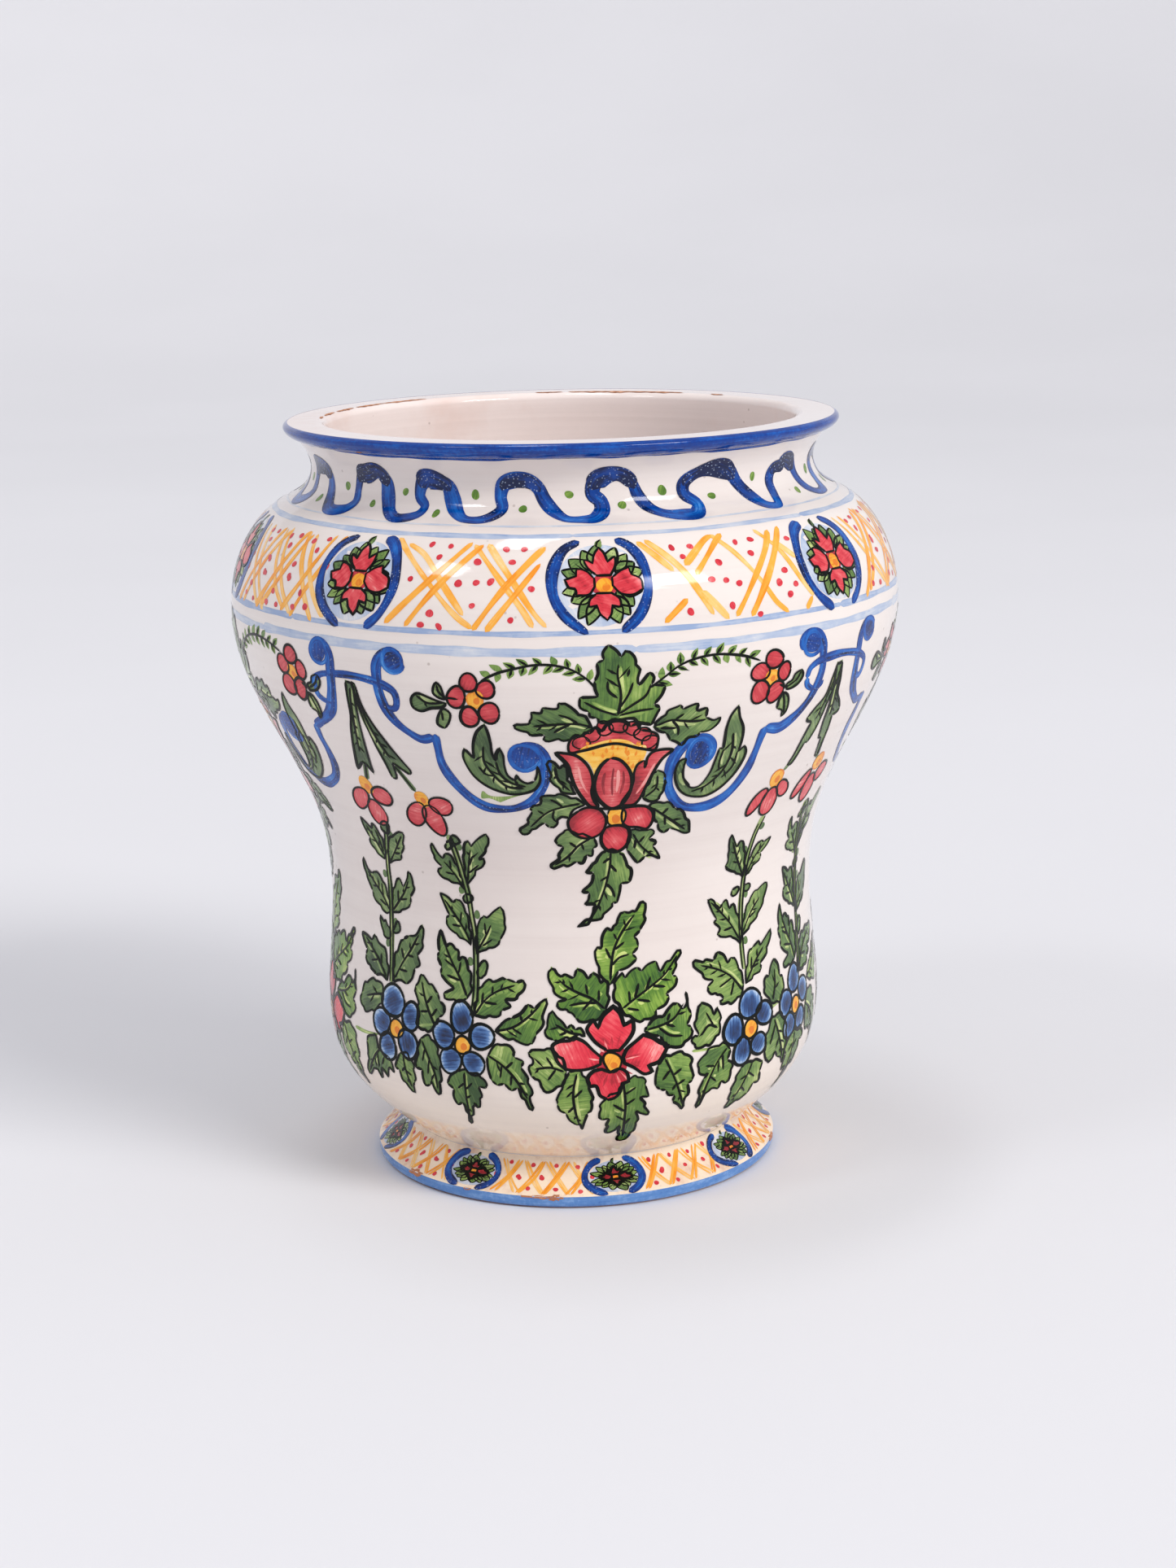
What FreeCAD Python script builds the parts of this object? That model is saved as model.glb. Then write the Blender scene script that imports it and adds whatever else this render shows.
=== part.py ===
"""A wheel-thrown talavera vase: a terracotta pot luted together from thrown sections, under a tin glaze.

Millimetres, +Z up. The origin is the centre of the foot's resting plane, and every piece is turned about Z.
The outer outline is that of the glazed vase, and the clay lies one glaze thickness inside it.
"""

import FreeCAD
import Part
import os

from FreeCAD import Vector

# Driving dimensions.
HEIGHT = 300.0
GLAZE = 0.5
WALL = 8.0
SLIP = 1.0                  # thickness of a luted joint

FOOT_RADIUS = 81.6          # at the foot's blue edge
FOOT_EDGE_TOP = 4.8         # top of the blue edge
FOOT_BARE = 1.2             # wiped clay under the blue edge
FOOT_TOP_RADIUS = 69.0      # where the body stands on the foot
FOOT_TOP = 16.4
FOOT_HOLLOW = 1.0           # how far the foot's flank curves in
FOOT_RECESS_BOTTOM = 66.5   # radius of the recess under the foot, at the rest
FOOT_RECESS_TOP = 61.0

SLAB_RADIUS = 66.0
SLAB_THICKNESS = 10.0
FLOOR = FOOT_TOP + SLAB_THICKNESS

BELLY_RADIUS = 132.2
BELLY_HEIGHT = 228.0
NECK_RADIUS = 98.6
NECK_HEIGHT = 284.0
WAIST_JOINT = 140.0         # the lower thrown section ends here
NECK_JOINT = 262.0          # the upper thrown section ends here
LIP_JOINT = 292.0           # the coil of the lip starts here

THROAT_RADIUS = 92.0        # glazed bore of the mouth
THROAT_BOTTOM = 274.0
THROAT_TOP = 297.4

LIP_START = (103.8, 294.2)  # the lip's blue edge starts here, under the lip
LIP_UNDER = (107.2, 295.6)
LIP_OUTERMOST = (108.9, 298.0)
LIP_SHOULDER = (108.5, 299.4)
LIP_TOP_OUT = (107.2, HEIGHT)
LIP_TOP_IN = (94.6, HEIGHT)

OUT = "parts"
FULL_TURN = 360.0
OFFSET_SAMPLES = 30
BISECTIONS = 60


def point(radius, height):
    """A point of the half section."""
    return Vector(radius, 0, height)


def chain(*points):
    """Straight edges through the points, in order."""
    return [Part.LineSegment(a, b).toShape() for a, b in zip(points, points[1:])]


def arc(start, middle, end):
    return Part.Arc(start, middle, end).toShape()


def hollow_arc(bottom, top, sag):
    """An arc between two points of an outer flank, whose middle curves in towards the axis by sag."""
    along = top.sub(bottom)
    inwards = Vector(-along.z, 0, along.x).normalize()
    middle = bottom.add(top).multiply(0.5).add(inwards.multiply(sag))
    return arc(bottom, middle, top)


def parameter_at(curve, height):
    """Where a curve that rises all the way reaches the height."""
    low, high = curve.FirstParameter, curve.LastParameter
    for _ in range(BISECTIONS):
        middle = (low + high) / 2
        if curve.value(middle).z < height:
            low = middle
        else:
            high = middle
    return (low + high) / 2


def at_height(curve, height):
    return curve.value(parameter_at(curve, height))


def stretch(curve, bottom, top):
    """The edge of the curve between two heights. None stands for the curve's own end."""
    first = curve.FirstParameter if bottom is None else parameter_at(curve, bottom)
    last = curve.LastParameter if top is None else parameter_at(curve, top)
    return curve.toShape(first, last)


def offset_points(curve, distance, bottom, top, count):
    """Points that lie the distance towards the axis from a rising curve, between two heights."""
    first, last = parameter_at(curve, bottom), parameter_at(curve, top)
    points = []
    for i in range(count):
        u = first + (last - first) * i / (count - 1)
        along = curve.tangent(u)[0]
        inwards = Vector(-along.z, 0, along.x).normalize()
        points.append(curve.value(u).add(inwards.multiply(distance)))
    return points


def smooth(points):
    """The smooth curve through the points."""
    curve = Part.BSplineCurve()
    curve.interpolate(points)
    return curve


def outer_outline():
    """The glazed outside, from the top of the foot to the underside of the lip."""
    return smooth([
        point(FOOT_TOP_RADIUS, FOOT_TOP),
        point(79.6, 25.0),
        point(88.9, 34.5),
        point(96.0, 46.0),
        point(99.4, 62.0),
        point(98.6, 85.0),
        point(96.9, 112.0),
        point(99.6, 140.0),
        point(111.6, 170.0),
        point(126.2, 200.0),
        point(BELLY_RADIUS, BELLY_HEIGHT),
        point(127.9, 249.5),
        point(113.2, 268.0),
        point(100.8, 276.4),
        point(NECK_RADIUS, NECK_HEIGHT),
        point(*LIP_START),
    ])


def inner_outline():
    """The glazed inside, from the floor's edge up to the start of the throat."""
    corner = [point(SLAB_RADIUS, FLOOR), point(72.5, 28.2)]
    wall = offset_points(OUTER, WALL, 38.0, 256.0, 16)
    shoulder = [point(105.5, 262.6), point(96.2, 268.4), point(THROAT_RADIUS, THROAT_BOTTOM)]
    return smooth(corner + wall + shoulder)


def clay_outer_outline():
    return smooth(offset_points(OUTER, GLAZE, FOOT_TOP, LIP_START[1], OFFSET_SAMPLES))


def clay_inner_outline():
    points = offset_points(INNER, -GLAZE, FLOOR, THROAT_BOTTOM, OFFSET_SAMPLES)
    points[0] = point(SLAB_RADIUS, FLOOR - GLAZE)
    points[-1] = point(THROAT_RADIUS + GLAZE, THROAT_BOTTOM)
    return smooth(points)


OUTER = outer_outline()
INNER = inner_outline()
CLAY_OUT = clay_outer_outline()
CLAY_IN = clay_inner_outline()
HEEL = point(CLAY_OUT.value(CLAY_OUT.FirstParameter).x, FOOT_TOP)
FLANK_TOP = FOOT_TOP - SLIP


def turned(edges):
    """The closed solid that a closed loop of edges makes when it turns about Z."""
    loop = Part.Wire(Part.__sortEdges__(edges))
    solid = Part.Face(loop).revolve(Vector(0, 0, 0), Vector(0, 0, 1), FULL_TURN)
    if solid.Volume < 0:
        solid.reverse()
    return solid


def polygon(*points):
    """The turned solid of a straight-sided loop."""
    return turned(chain(*points, points[0]))


def foot_ring():
    """Spreading ring with a flat resting face, a bare wiped edge and a tapered recess."""
    edge = FOOT_RADIUS - GLAZE
    rest = point(edge - FOOT_BARE, 0)
    bevel = point(edge, FOOT_BARE)
    flank = point(edge, FOOT_EDGE_TOP)
    top = point(FOOT_TOP_RADIUS - GLAZE, FLANK_TOP)
    recess_top = point(FOOT_RECESS_TOP, FLANK_TOP)
    recess = point(FOOT_RECESS_BOTTOM, 0)
    return turned(
        chain(top, recess_top, recess, rest, bevel, flank) + [hollow_arc(flank, top, FOOT_HOLLOW)]
    )


def foot_cobalt_band():
    """Blue glaze round the foot's upright edge."""
    clay = FOOT_RADIUS - GLAZE
    return polygon(
        point(clay, FOOT_BARE),
        point(FOOT_RADIUS, FOOT_BARE + GLAZE),
        point(FOOT_RADIUS, FOOT_EDGE_TOP),
        point(clay, FOOT_EDGE_TOP),
    )


def foot_glaze():
    """White glaze on the foot's sloping flank, up to the body."""
    low_out = point(FOOT_RADIUS, FOOT_EDGE_TOP)
    low_in = point(FOOT_RADIUS - GLAZE, FOOT_EDGE_TOP)
    high_out = point(FOOT_TOP_RADIUS, FLANK_TOP)
    high_in = point(FOOT_TOP_RADIUS - GLAZE, FLANK_TOP)
    return turned(
        chain(low_in, low_out)
        + [hollow_arc(low_out, high_out, FOOT_HOLLOW)]
        + chain(high_out, point(FOOT_TOP_RADIUS, FOOT_TOP), point(HEEL.x, FOOT_TOP), high_in)
        + [hollow_arc(low_in, high_in, FOOT_HOLLOW)]
    )


def foot_slip_joint():
    """Slip that lutes the foot to the body."""
    outer = FOOT_TOP_RADIUS - GLAZE
    return polygon(
        point(FOOT_RECESS_TOP, FLANK_TOP),
        point(outer, FLANK_TOP),
        point(HEEL.x, FOOT_TOP),
        point(FOOT_RECESS_TOP, FOOT_TOP),
    )


def base_slab():
    """The clay floor that the wall is luted round."""
    return polygon(
        point(0, FOOT_TOP),
        point(SLAB_RADIUS, FOOT_TOP),
        point(SLAB_RADIUS, FLOOR - GLAZE),
        point(0, FLOOR - GLAZE),
    )


def lower_wall():
    """The lower thrown section, from the foot to the waist."""
    edges = [stretch(CLAY_OUT, None, WAIST_JOINT), stretch(CLAY_IN, None, WAIST_JOINT)]
    edges += chain(at_height(CLAY_OUT, WAIST_JOINT), at_height(CLAY_IN, WAIST_JOINT))
    edges += chain(
        point(SLAB_RADIUS, FLOOR - GLAZE),
        point(SLAB_RADIUS, FOOT_TOP),
        HEEL,
        CLAY_OUT.value(CLAY_OUT.FirstParameter),
    )
    return turned(edges)


def wall_ring(bottom, top):
    """The clay wall between two heights below the throat."""
    edges = [stretch(CLAY_OUT, bottom, top), stretch(CLAY_IN, bottom, top)]
    edges += chain(at_height(CLAY_OUT, bottom), at_height(CLAY_IN, bottom))
    edges += chain(at_height(CLAY_OUT, top), at_height(CLAY_IN, top))
    return turned(edges)


def neck_collar():
    """The collar thrown on to the shoulder, from the neck joint up to the coil of the lip."""
    bottom = NECK_JOINT + SLIP
    throat = THROAT_RADIUS + GLAZE
    edges = [stretch(CLAY_OUT, bottom, LIP_JOINT), stretch(CLAY_IN, bottom, None)]
    edges += chain(at_height(CLAY_OUT, bottom), at_height(CLAY_IN, bottom))
    edges += chain(
        point(throat, THROAT_BOTTOM),
        point(throat, LIP_JOINT),
        at_height(CLAY_OUT, LIP_JOINT),
    )
    return turned(edges)


def lip_clay_points():
    """The clay under the lip's blue edge: start, underside, outermost, shoulder and top."""
    return [
        CLAY_OUT.value(CLAY_OUT.LastParameter),
        point(LIP_UNDER[0] - GLAZE * 0.5, LIP_UNDER[1] + GLAZE * 0.8),
        point(LIP_OUTERMOST[0] - GLAZE, LIP_OUTERMOST[1]),
        point(LIP_SHOULDER[0] - GLAZE * 0.8, LIP_SHOULDER[1] - GLAZE * 0.6),
        point(LIP_TOP_OUT[0], HEIGHT - GLAZE),
    ]


def lip_glaze_points():
    return [point(*p) for p in (LIP_START, LIP_UNDER, LIP_OUTERMOST, LIP_SHOULDER, LIP_TOP_OUT)]


def rim_lip():
    """The rolled coil of the lip."""
    start, under, outermost, shoulder, top = lip_clay_points()
    throat = THROAT_RADIUS + GLAZE
    edges = [stretch(CLAY_OUT, LIP_JOINT, None)]
    edges += [arc(start, under, outermost), arc(outermost, shoulder, top)]
    edges += chain(
        top,
        point(LIP_TOP_IN[0], HEIGHT - GLAZE),
        point(throat, THROAT_TOP),
        point(throat, LIP_JOINT),
        at_height(CLAY_OUT, LIP_JOINT),
    )
    return turned(edges)


def rim_cobalt_band():
    """Blue glaze round the lip's edge."""
    clay, glaze = lip_clay_points(), lip_glaze_points()
    edges = [arc(*glaze[0:3]), arc(*glaze[2:5]), arc(*clay[0:3]), arc(*clay[2:5])]
    edges += chain(clay[0], glaze[0]) + chain(clay[4], glaze[4])
    return turned(edges)


def rim_glaze():
    """White glaze on the lip's flat top and its rounding into the throat."""
    corner = HEIGHT - (HEIGHT - THROAT_TOP) * 0.3
    inner = THROAT_RADIUS + (LIP_TOP_IN[0] - THROAT_RADIUS) * 0.3
    edges = [arc(point(*LIP_TOP_IN), point(inner, corner), point(THROAT_RADIUS, THROAT_TOP))]
    edges += chain(
        point(THROAT_RADIUS, THROAT_TOP),
        point(THROAT_RADIUS + GLAZE, THROAT_TOP),
        point(LIP_TOP_IN[0], HEIGHT - GLAZE),
        point(LIP_TOP_OUT[0], HEIGHT - GLAZE),
        point(*LIP_TOP_OUT),
        point(*LIP_TOP_IN),
    )
    return turned(edges)


def inner_glaze():
    """The pinkish lining of the floor, the wall and the throat."""
    edges = [stretch(INNER, None, None), stretch(CLAY_IN, None, None)]
    edges += chain(
        point(SLAB_RADIUS, FLOOR),
        point(0, FLOOR),
        point(0, FLOOR - GLAZE),
        point(SLAB_RADIUS, FLOOR - GLAZE),
    )
    edges += chain(
        point(THROAT_RADIUS, THROAT_BOTTOM),
        point(THROAT_RADIUS, THROAT_TOP),
        point(THROAT_RADIUS + GLAZE, THROAT_TOP),
        point(THROAT_RADIUS + GLAZE, THROAT_BOTTOM),
    )
    return turned(edges)


def outer_glaze():
    """The white ground of the painting, from the foot to the underside of the lip."""
    edges = [stretch(OUTER, None, None), stretch(CLAY_OUT, None, None)]
    edges += chain(point(*LIP_START), CLAY_OUT.value(CLAY_OUT.LastParameter))
    edges += chain(point(FOOT_TOP_RADIUS, FOOT_TOP), HEEL, CLAY_OUT.value(CLAY_OUT.FirstParameter))
    return turned(edges)


def pieces():
    """Every piece with its node's name, from the foot up, then the glaze coats."""
    return {
        "foot_ring": foot_ring(),
        "foot_slip_joint": foot_slip_joint(),
        "base_slab": base_slab(),
        "lower_wall": lower_wall(),
        "waist_slip_joint": wall_ring(WAIST_JOINT, WAIST_JOINT + SLIP),
        "shoulder_wall": wall_ring(WAIST_JOINT + SLIP, NECK_JOINT),
        "neck_slip_joint": wall_ring(NECK_JOINT, NECK_JOINT + SLIP),
        "neck_collar": neck_collar(),
        "rim_lip": rim_lip(),
        "outer_glaze": outer_glaze(),
        "inner_glaze": inner_glaze(),
        "rim_glaze": rim_glaze(),
        "rim_cobalt_band": rim_cobalt_band(),
        "foot_glaze": foot_glaze(),
        "foot_cobalt_band": foot_cobalt_band(),
    }


os.makedirs(OUT, exist_ok=True)
for node, solid in pieces().items():
    if not solid.isValid() or solid.Volume <= 0:
        raise RuntimeError("the solid is not closed: " + node)
    solid.exportStep(os.path.join(OUT, node + ".step"))
    print(node, round(solid.Volume / 1000, 1), "cm3")
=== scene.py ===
"""The looks of a painted talavera vase: clay, tin glaze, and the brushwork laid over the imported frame.

The painting is drawn on a sheet wrapped round the vase. A sheet point is (x, s) in millimetres: x is the
angle from the painted front times SHEET_RADIUS, positive to the viewer's right, and s is the length up the
outline, from the top of the foot. "12.5,233!" is a point where the brush stops and starts again.
"""

import math
import random

import bpy
import numpy as np
from mathutils import Matrix, Vector
from mathutils.geometry import delaunay_2d_cdt


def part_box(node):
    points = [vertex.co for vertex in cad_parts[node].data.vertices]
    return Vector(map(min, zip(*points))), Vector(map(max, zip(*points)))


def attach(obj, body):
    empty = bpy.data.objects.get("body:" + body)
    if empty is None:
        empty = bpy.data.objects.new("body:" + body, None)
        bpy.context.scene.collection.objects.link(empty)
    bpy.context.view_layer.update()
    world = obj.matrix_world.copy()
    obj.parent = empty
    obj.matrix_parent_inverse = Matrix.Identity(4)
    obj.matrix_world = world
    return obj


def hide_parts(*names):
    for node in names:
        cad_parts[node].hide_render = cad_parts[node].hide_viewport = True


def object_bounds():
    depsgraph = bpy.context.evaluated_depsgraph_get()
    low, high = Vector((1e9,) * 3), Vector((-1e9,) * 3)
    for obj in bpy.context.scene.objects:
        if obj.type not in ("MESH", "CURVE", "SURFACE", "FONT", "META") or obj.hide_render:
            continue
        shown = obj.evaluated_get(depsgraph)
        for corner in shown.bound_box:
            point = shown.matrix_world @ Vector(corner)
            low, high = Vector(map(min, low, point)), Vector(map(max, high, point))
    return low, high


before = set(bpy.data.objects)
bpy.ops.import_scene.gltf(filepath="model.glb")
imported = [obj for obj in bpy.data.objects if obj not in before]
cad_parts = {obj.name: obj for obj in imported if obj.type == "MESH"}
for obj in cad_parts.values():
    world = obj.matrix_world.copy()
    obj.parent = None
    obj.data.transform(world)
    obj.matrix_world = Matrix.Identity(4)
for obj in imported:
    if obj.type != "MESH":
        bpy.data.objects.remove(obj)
CAD_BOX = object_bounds()

MM = 0.001
SHEET_RADIUS = 110.0
ROUND = 2 * math.pi * SHEET_RADIUS
rng = random.Random(7)

# ---------------------------------------------------------------- the vase's outline

TOP = CAD_BOX[1].z / MM
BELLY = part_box("outer_glaze")[1].x / MM
FOOT_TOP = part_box("foot_glaze")[1].z / MM
FOOT_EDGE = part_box("foot_cobalt_band")[1].z / MM
FOOT_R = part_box("foot_cobalt_band")[1].x / MM
LIP_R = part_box("rim_cobalt_band")[1].x / MM
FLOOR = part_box("inner_glaze")[0].z / MM + 0.5

BODY_KNOTS = [
    (69.0, FOOT_TOP), (79.6, 25.0), (88.9, 34.5), (96.0, 46.0), (99.4, 62.0), (98.6, 85.0),
    (96.9, 112.0), (99.6, 140.0), (111.6, 170.0), (126.2, 200.0), (BELLY, 228.0), (127.9, 249.5),
    (113.2, 268.0), (100.8, 276.4), (98.6, 284.0), (103.8, 294.2),
]
FOOT_KNOTS = [(FOOT_R - 1.2, 0.3), (FOOT_R - 0.2, 1.2), (FOOT_R, 2.2), (FOOT_R, FOOT_EDGE)]
FLANK_KNOTS = [(FOOT_R, FOOT_EDGE), (76.8, 8.2), (72.5, 12.0), (69.0, FOOT_TOP)]
LIP_KNOTS = [
    (103.8, 294.2), (105.6, 294.8), (107.3, 295.7), (108.4, 296.8), (LIP_R, 298.0), (108.6, 299.1),
    (107.2, TOP),
]
TOP_KNOTS = [(107.2, TOP), (94.8, TOP)]
MOUTH_KNOTS = [(94.8, TOP), (93.2, 299.5), (92.3, 298.6), (92.0, 297.4), (92.0, 285.0), (92.0, 274.0)]
INSIDE_KNOTS = [
    (92.0, 274.0), (96.2, 268.4), (105.5, 262.6), (117.5, 252.0), (123.2, 238.0), (124.1, 226.0),
    (119.3, 204.3), (107.3, 179.1), (95.6, 153.9), (90.2, 133.8), (88.9, 112.9), (90.6, 85.1), (91.5, 64.3),
    (89.1, 50.7), (82.3, 38.2), (72.7, 28.3), (62.0, FLOOR), (30.0, FLOOR), (0.4, FLOOR),
]


def spline(knots, per=24):
    """The natural cubic through the knots, spaced by their chords."""
    p = np.array(knots, float)
    h = np.linalg.norm(np.diff(p, axis=0), axis=1)
    n = len(p)
    a = np.eye(n)
    b = np.zeros((n, 2))
    for i in range(1, n - 1):
        a[i, i - 1 : i + 2] = h[i - 1], 2 * (h[i - 1] + h[i]), h[i]
        b[i] = 6 * ((p[i + 1] - p[i]) / h[i] - (p[i] - p[i - 1]) / h[i - 1])
    m = np.linalg.solve(a, b)
    out = []
    for i in range(n - 1):
        for u in np.arange(per) / per * h[i]:
            v = h[i] - u
            out.append(
                (m[i] * v**3 + m[i + 1] * u**3) / (6 * h[i])
                + (p[i + 1] / h[i] - m[i + 1] * h[i] / 6) * u
                + (p[i] / h[i] - m[i] * h[i] / 6) * v
            )
    return np.array(out + [p[-1]])


class Outline:
    """A stretch of the outline, by length from its start, with its normals to the left of travel."""

    def __init__(self, points, start=0.0):
        self.p = points
        self.s = start + np.concatenate([[0], np.cumsum(np.linalg.norm(np.diff(points, axis=0), axis=1))])
        t = np.gradient(points, self.s, axis=0)
        t /= np.linalg.norm(t, axis=1)[:, None]
        self.n = np.stack([t[:, 1], -t[:, 0]], 1)
        self.low, self.high = self.s[0], self.s[-1]

    def at(self, s):
        return [np.interp(s, self.s, c) for c in (self.p[:, 0], self.p[:, 1], self.n[:, 0], self.n[:, 1])]


def line_length(points):
    return np.linalg.norm(np.diff(points, axis=0), axis=1).sum()


def merge(*parts):
    """One outline from several that follow on."""
    return Outline(np.vstack([parts[0].p] + [q.p[1:] for q in parts[1:]]), parts[0].low)


BODY = Outline(spline(BODY_KNOTS, 40))
flank_points = spline(FLANK_KNOTS)
edge_points = spline(FOOT_KNOTS, 12)
FLANK = Outline(flank_points, -line_length(flank_points))
EDGE = Outline(edge_points, -line_length(flank_points) - line_length(edge_points))
LIP = Outline(spline(LIP_KNOTS), BODY.high)
RIM_TOP = Outline(spline(TOP_KNOTS), LIP.high)
MOUTH = Outline(np.vstack([spline(MOUTH_KNOTS[:4]), spline(MOUTH_KNOTS[3:])[1:]]), RIM_TOP.high)
INSIDE = Outline(spline(INSIDE_KNOTS), MOUTH.high)
RIM_SKIN = merge(LIP, RIM_TOP, MOUTH)
FOOT_SKIN = merge(EDGE, FLANK)
lip_tail = BODY.s > BODY.high - 1.2
LIP_SKIN = Outline(np.vstack([BODY.p[lip_tail][:-1], LIP.p]), BODY.s[lip_tail][0])


def swell(theta, s):
    """How far the hand-thrown wall stands off a true turned surface, in mm along its normal."""
    fade = np.clip(np.minimum(s - BODY.low, BODY.high - s) / 14, 0, 1)
    lump = 0.13 * np.sin(2 * theta + 0.6) + 0.07 * np.sin(3 * theta + s / 37 + 2)
    lump = lump + 0.05 * np.sin(7 * theta + s / 19) + 0.035 * np.sin(11 * theta - s / 13 + 1.3)
    ring = 0.022 * np.sin(s / 1.55 + 0.8 * np.sin(2 * theta)) + 0.03 * np.sin(s / 4.7 + 1.1 * np.sin(theta))
    return fade * (lump + ring)


def skin(outline, x, s, lift=0.0):
    """Positions in metres and unit normals of sheet points on an outline."""
    theta = np.asarray(x, float) / SHEET_RADIUS
    s = np.asarray(s, float)
    r, z, nr, nz = outline.at(s)
    move = np.asarray(lift, float)
    slope_s = slope_t = 0.0
    if outline is BODY:
        e = 0.05
        off = swell(theta, s)
        slope_s = (swell(theta, s + e) - swell(theta, s - e)) / (2 * e)
        slope_t = (swell(theta + e / 50, s) - off) / (e / 50) / r
        move = move + off
    rr, zz = r + nr * move, z + nz * move
    out = np.stack([rr * np.sin(theta), -rr * np.cos(theta), zz], -1) * MM
    ar, az = nr + slope_s * nz, nz - slope_s * nr
    nx = ar * np.sin(theta) - slope_t * np.cos(theta)
    ny = -ar * np.cos(theta) - slope_t * np.sin(theta)
    n = np.stack([nx, ny, az], -1)
    return out, n / np.linalg.norm(n, axis=-1, keepdims=True)


# ---------------------------------------------------------------- materials


def linear(rgb):
    return [c / 12.92 if c <= 0.04045 else ((c + 0.055) / 1.055) ** 2.4 for c in (v / 255 for v in rgb)]


class Shader:
    """A material with a Principled shader, and short names for its nodes."""

    def __init__(self, name, roughness=0.12, specular=0.5):
        self.mat = bpy.data.materials.new(name)
        self.mat.use_nodes = True
        self.tree = self.mat.node_tree
        self.bsdf = self.tree.nodes["Principled BSDF"]
        self.bsdf.inputs["Roughness"].default_value = roughness
        self.bsdf.inputs["Specular IOR Level"].default_value = specular

    def add(self, kind, **inputs):
        node = self.tree.nodes.new("ShaderNode" + kind)
        for key, value in inputs.items():
            socket = node.inputs[int(key[1:]) if key[0] == "_" else key.replace("_", " ")]
            if isinstance(value, bpy.types.NodeSocket):
                self.tree.links.new(value, socket)
            else:
                socket.default_value = value
        return node

    def place(self, source, scale):
        return self.add("Mapping", Vector=source, Scale=scale).outputs[0]

    def noise(self, vector, scale, detail=4.0, rough=0.55):
        return self.add("TexNoise", Vector=vector, Scale=scale, Detail=detail, Roughness=rough).outputs["Fac"]

    def math(self, kind, a, b=0.0, clamp=False):
        node = self.add("Math", _0=a, _1=b)
        node.operation = kind
        node.use_clamp = clamp
        return node.outputs[0]

    def span(self, value, low, high, to_low=0.0, to_high=1.0):
        return self.add("MapRange", _0=value, _1=low, _2=high, _3=to_low, _4=to_high).outputs[0]

    def ramp(self, value, *stops):
        node = self.add("ValToRGB", Fac=value)
        band = node.color_ramp
        band.interpolation = "EASE"
        while len(band.elements) < len(stops):
            band.elements.new(0.5)
        for element, (at, rgb) in zip(band.elements, stops):
            element.position = at
            element.color = linear(rgb) + [1]
        return node.outputs["Color"]

    def mix(self, factor, a, b):
        node = self.tree.nodes.new("ShaderNodeMix")
        node.data_type = "RGBA"
        for index, value in ((0, factor), (6, a), (7, b)):
            socket = node.inputs[index]
            if isinstance(value, bpy.types.NodeSocket):
                self.tree.links.new(value, socket)
            else:
                socket.default_value = linear(value) + [1] if index > 0 else value
        return node.outputs[2]

    def attribute(self, name):
        node = self.tree.nodes.new("ShaderNodeAttribute")
        node.attribute_name = name
        return node.outputs["Fac"]

    def brush(self):
        """The paint's own coordinates: across the stroke, then along it, in mm."""
        node = self.tree.nodes.new("ShaderNodeUVMap")
        node.uv_map = "brush"
        return node.outputs[0]

    def world(self):
        return self.add("TexCoord").outputs["Object"]

    def colour(self, socket):
        self.tree.links.new(socket, self.bsdf.inputs["Base Color"])

    def rough(self, socket):
        self.tree.links.new(socket, self.bsdf.inputs["Roughness"])

    def about_middle(self, value, strength):
        """The value's swing about 0.5, times the strength."""
        return self.math("MULTIPLY", self.math("SUBTRACT", value, 0.5), strength)

    def bump(self, height, strength, distance):
        node = self.add("Bump", Height=height, Strength=strength, Distance=distance)
        self.tree.links.new(node.outputs[0], self.bsdf.inputs["Normal"])


def paint(name, stops, second=None, rough=(0.05, 0.14), streak=0.55, mottle=0.5, fleck=None, specular=0.5):
    """Brushed glaze colour: streaks along the stroke, pooled patches, and a hue that the strokes choose."""
    m = Shader(name, specular=specular)
    uv = m.brush()
    lines = m.noise(m.place(uv, (1.3, 0.09, 1.0)), 1.0, 5.0, 0.6)
    pools = m.noise(m.world(), 130.0, 4.0, 0.6)
    tone = m.attribute("tone")
    value = m.math("ADD", m.about_middle(lines, streak * 2), tone)
    value = m.math("ADD", value, m.about_middle(pools, mottle * 2), True)
    base = m.ramp(value, *stops)
    if second:
        base = m.mix(m.attribute("hue"), base, m.ramp(value, *second))
    if fleck:
        spots = m.add("TexVoronoi", Vector=m.world(), Scale=fleck[0]).outputs["Distance"]
        chosen = m.math("MULTIPLY", m.span(spots, fleck[1], 0.0), m.span(tone, 0.45, 0.1), True)
        base = m.mix(chosen, base, fleck[2])
    m.colour(base)
    m.rough(m.span(pools, 0.3, 0.7, *rough))
    m.bump(m.math("ADD", lines, pools), 0.12, 0.0002)
    return m.mat


GREY_GREEN = ((0.05, (52, 74, 42)), (0.4, (92, 116, 70)), (0.7, (132, 152, 96)), (0.98, (194, 204, 146)))
YELLOW_GREEN = ((0.05, (34, 78, 12)), (0.4, (82, 126, 26)), (0.7, (132, 168, 56)), (0.98, (204, 218, 122)))
REDS = ((0.05, (136, 22, 34)), (0.38, (196, 50, 60)), (0.68, (216, 84, 88)), (0.98, (240, 158, 152)))
BRIGHT_REDS = ((0.05, (176, 16, 40)), (0.38, (226, 40, 62)), (0.68, (238, 82, 92)), (0.98, (248, 170, 164)))
COBALTS = ((0.03, (0, 20, 66)), (0.35, (2, 60, 143)), (0.66, (14, 97, 184)), (0.98, (86, 154, 220)))
FLOWER_BLUES = ((0.05, (8, 22, 56)), (0.35, (24, 62, 116)), (0.65, (78, 120, 176)), (0.98, (180, 202, 228)))
INKS = ((0.1, (1, 3, 2)), (0.6, (8, 14, 9)), (1.0, (48, 60, 38)))
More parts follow.
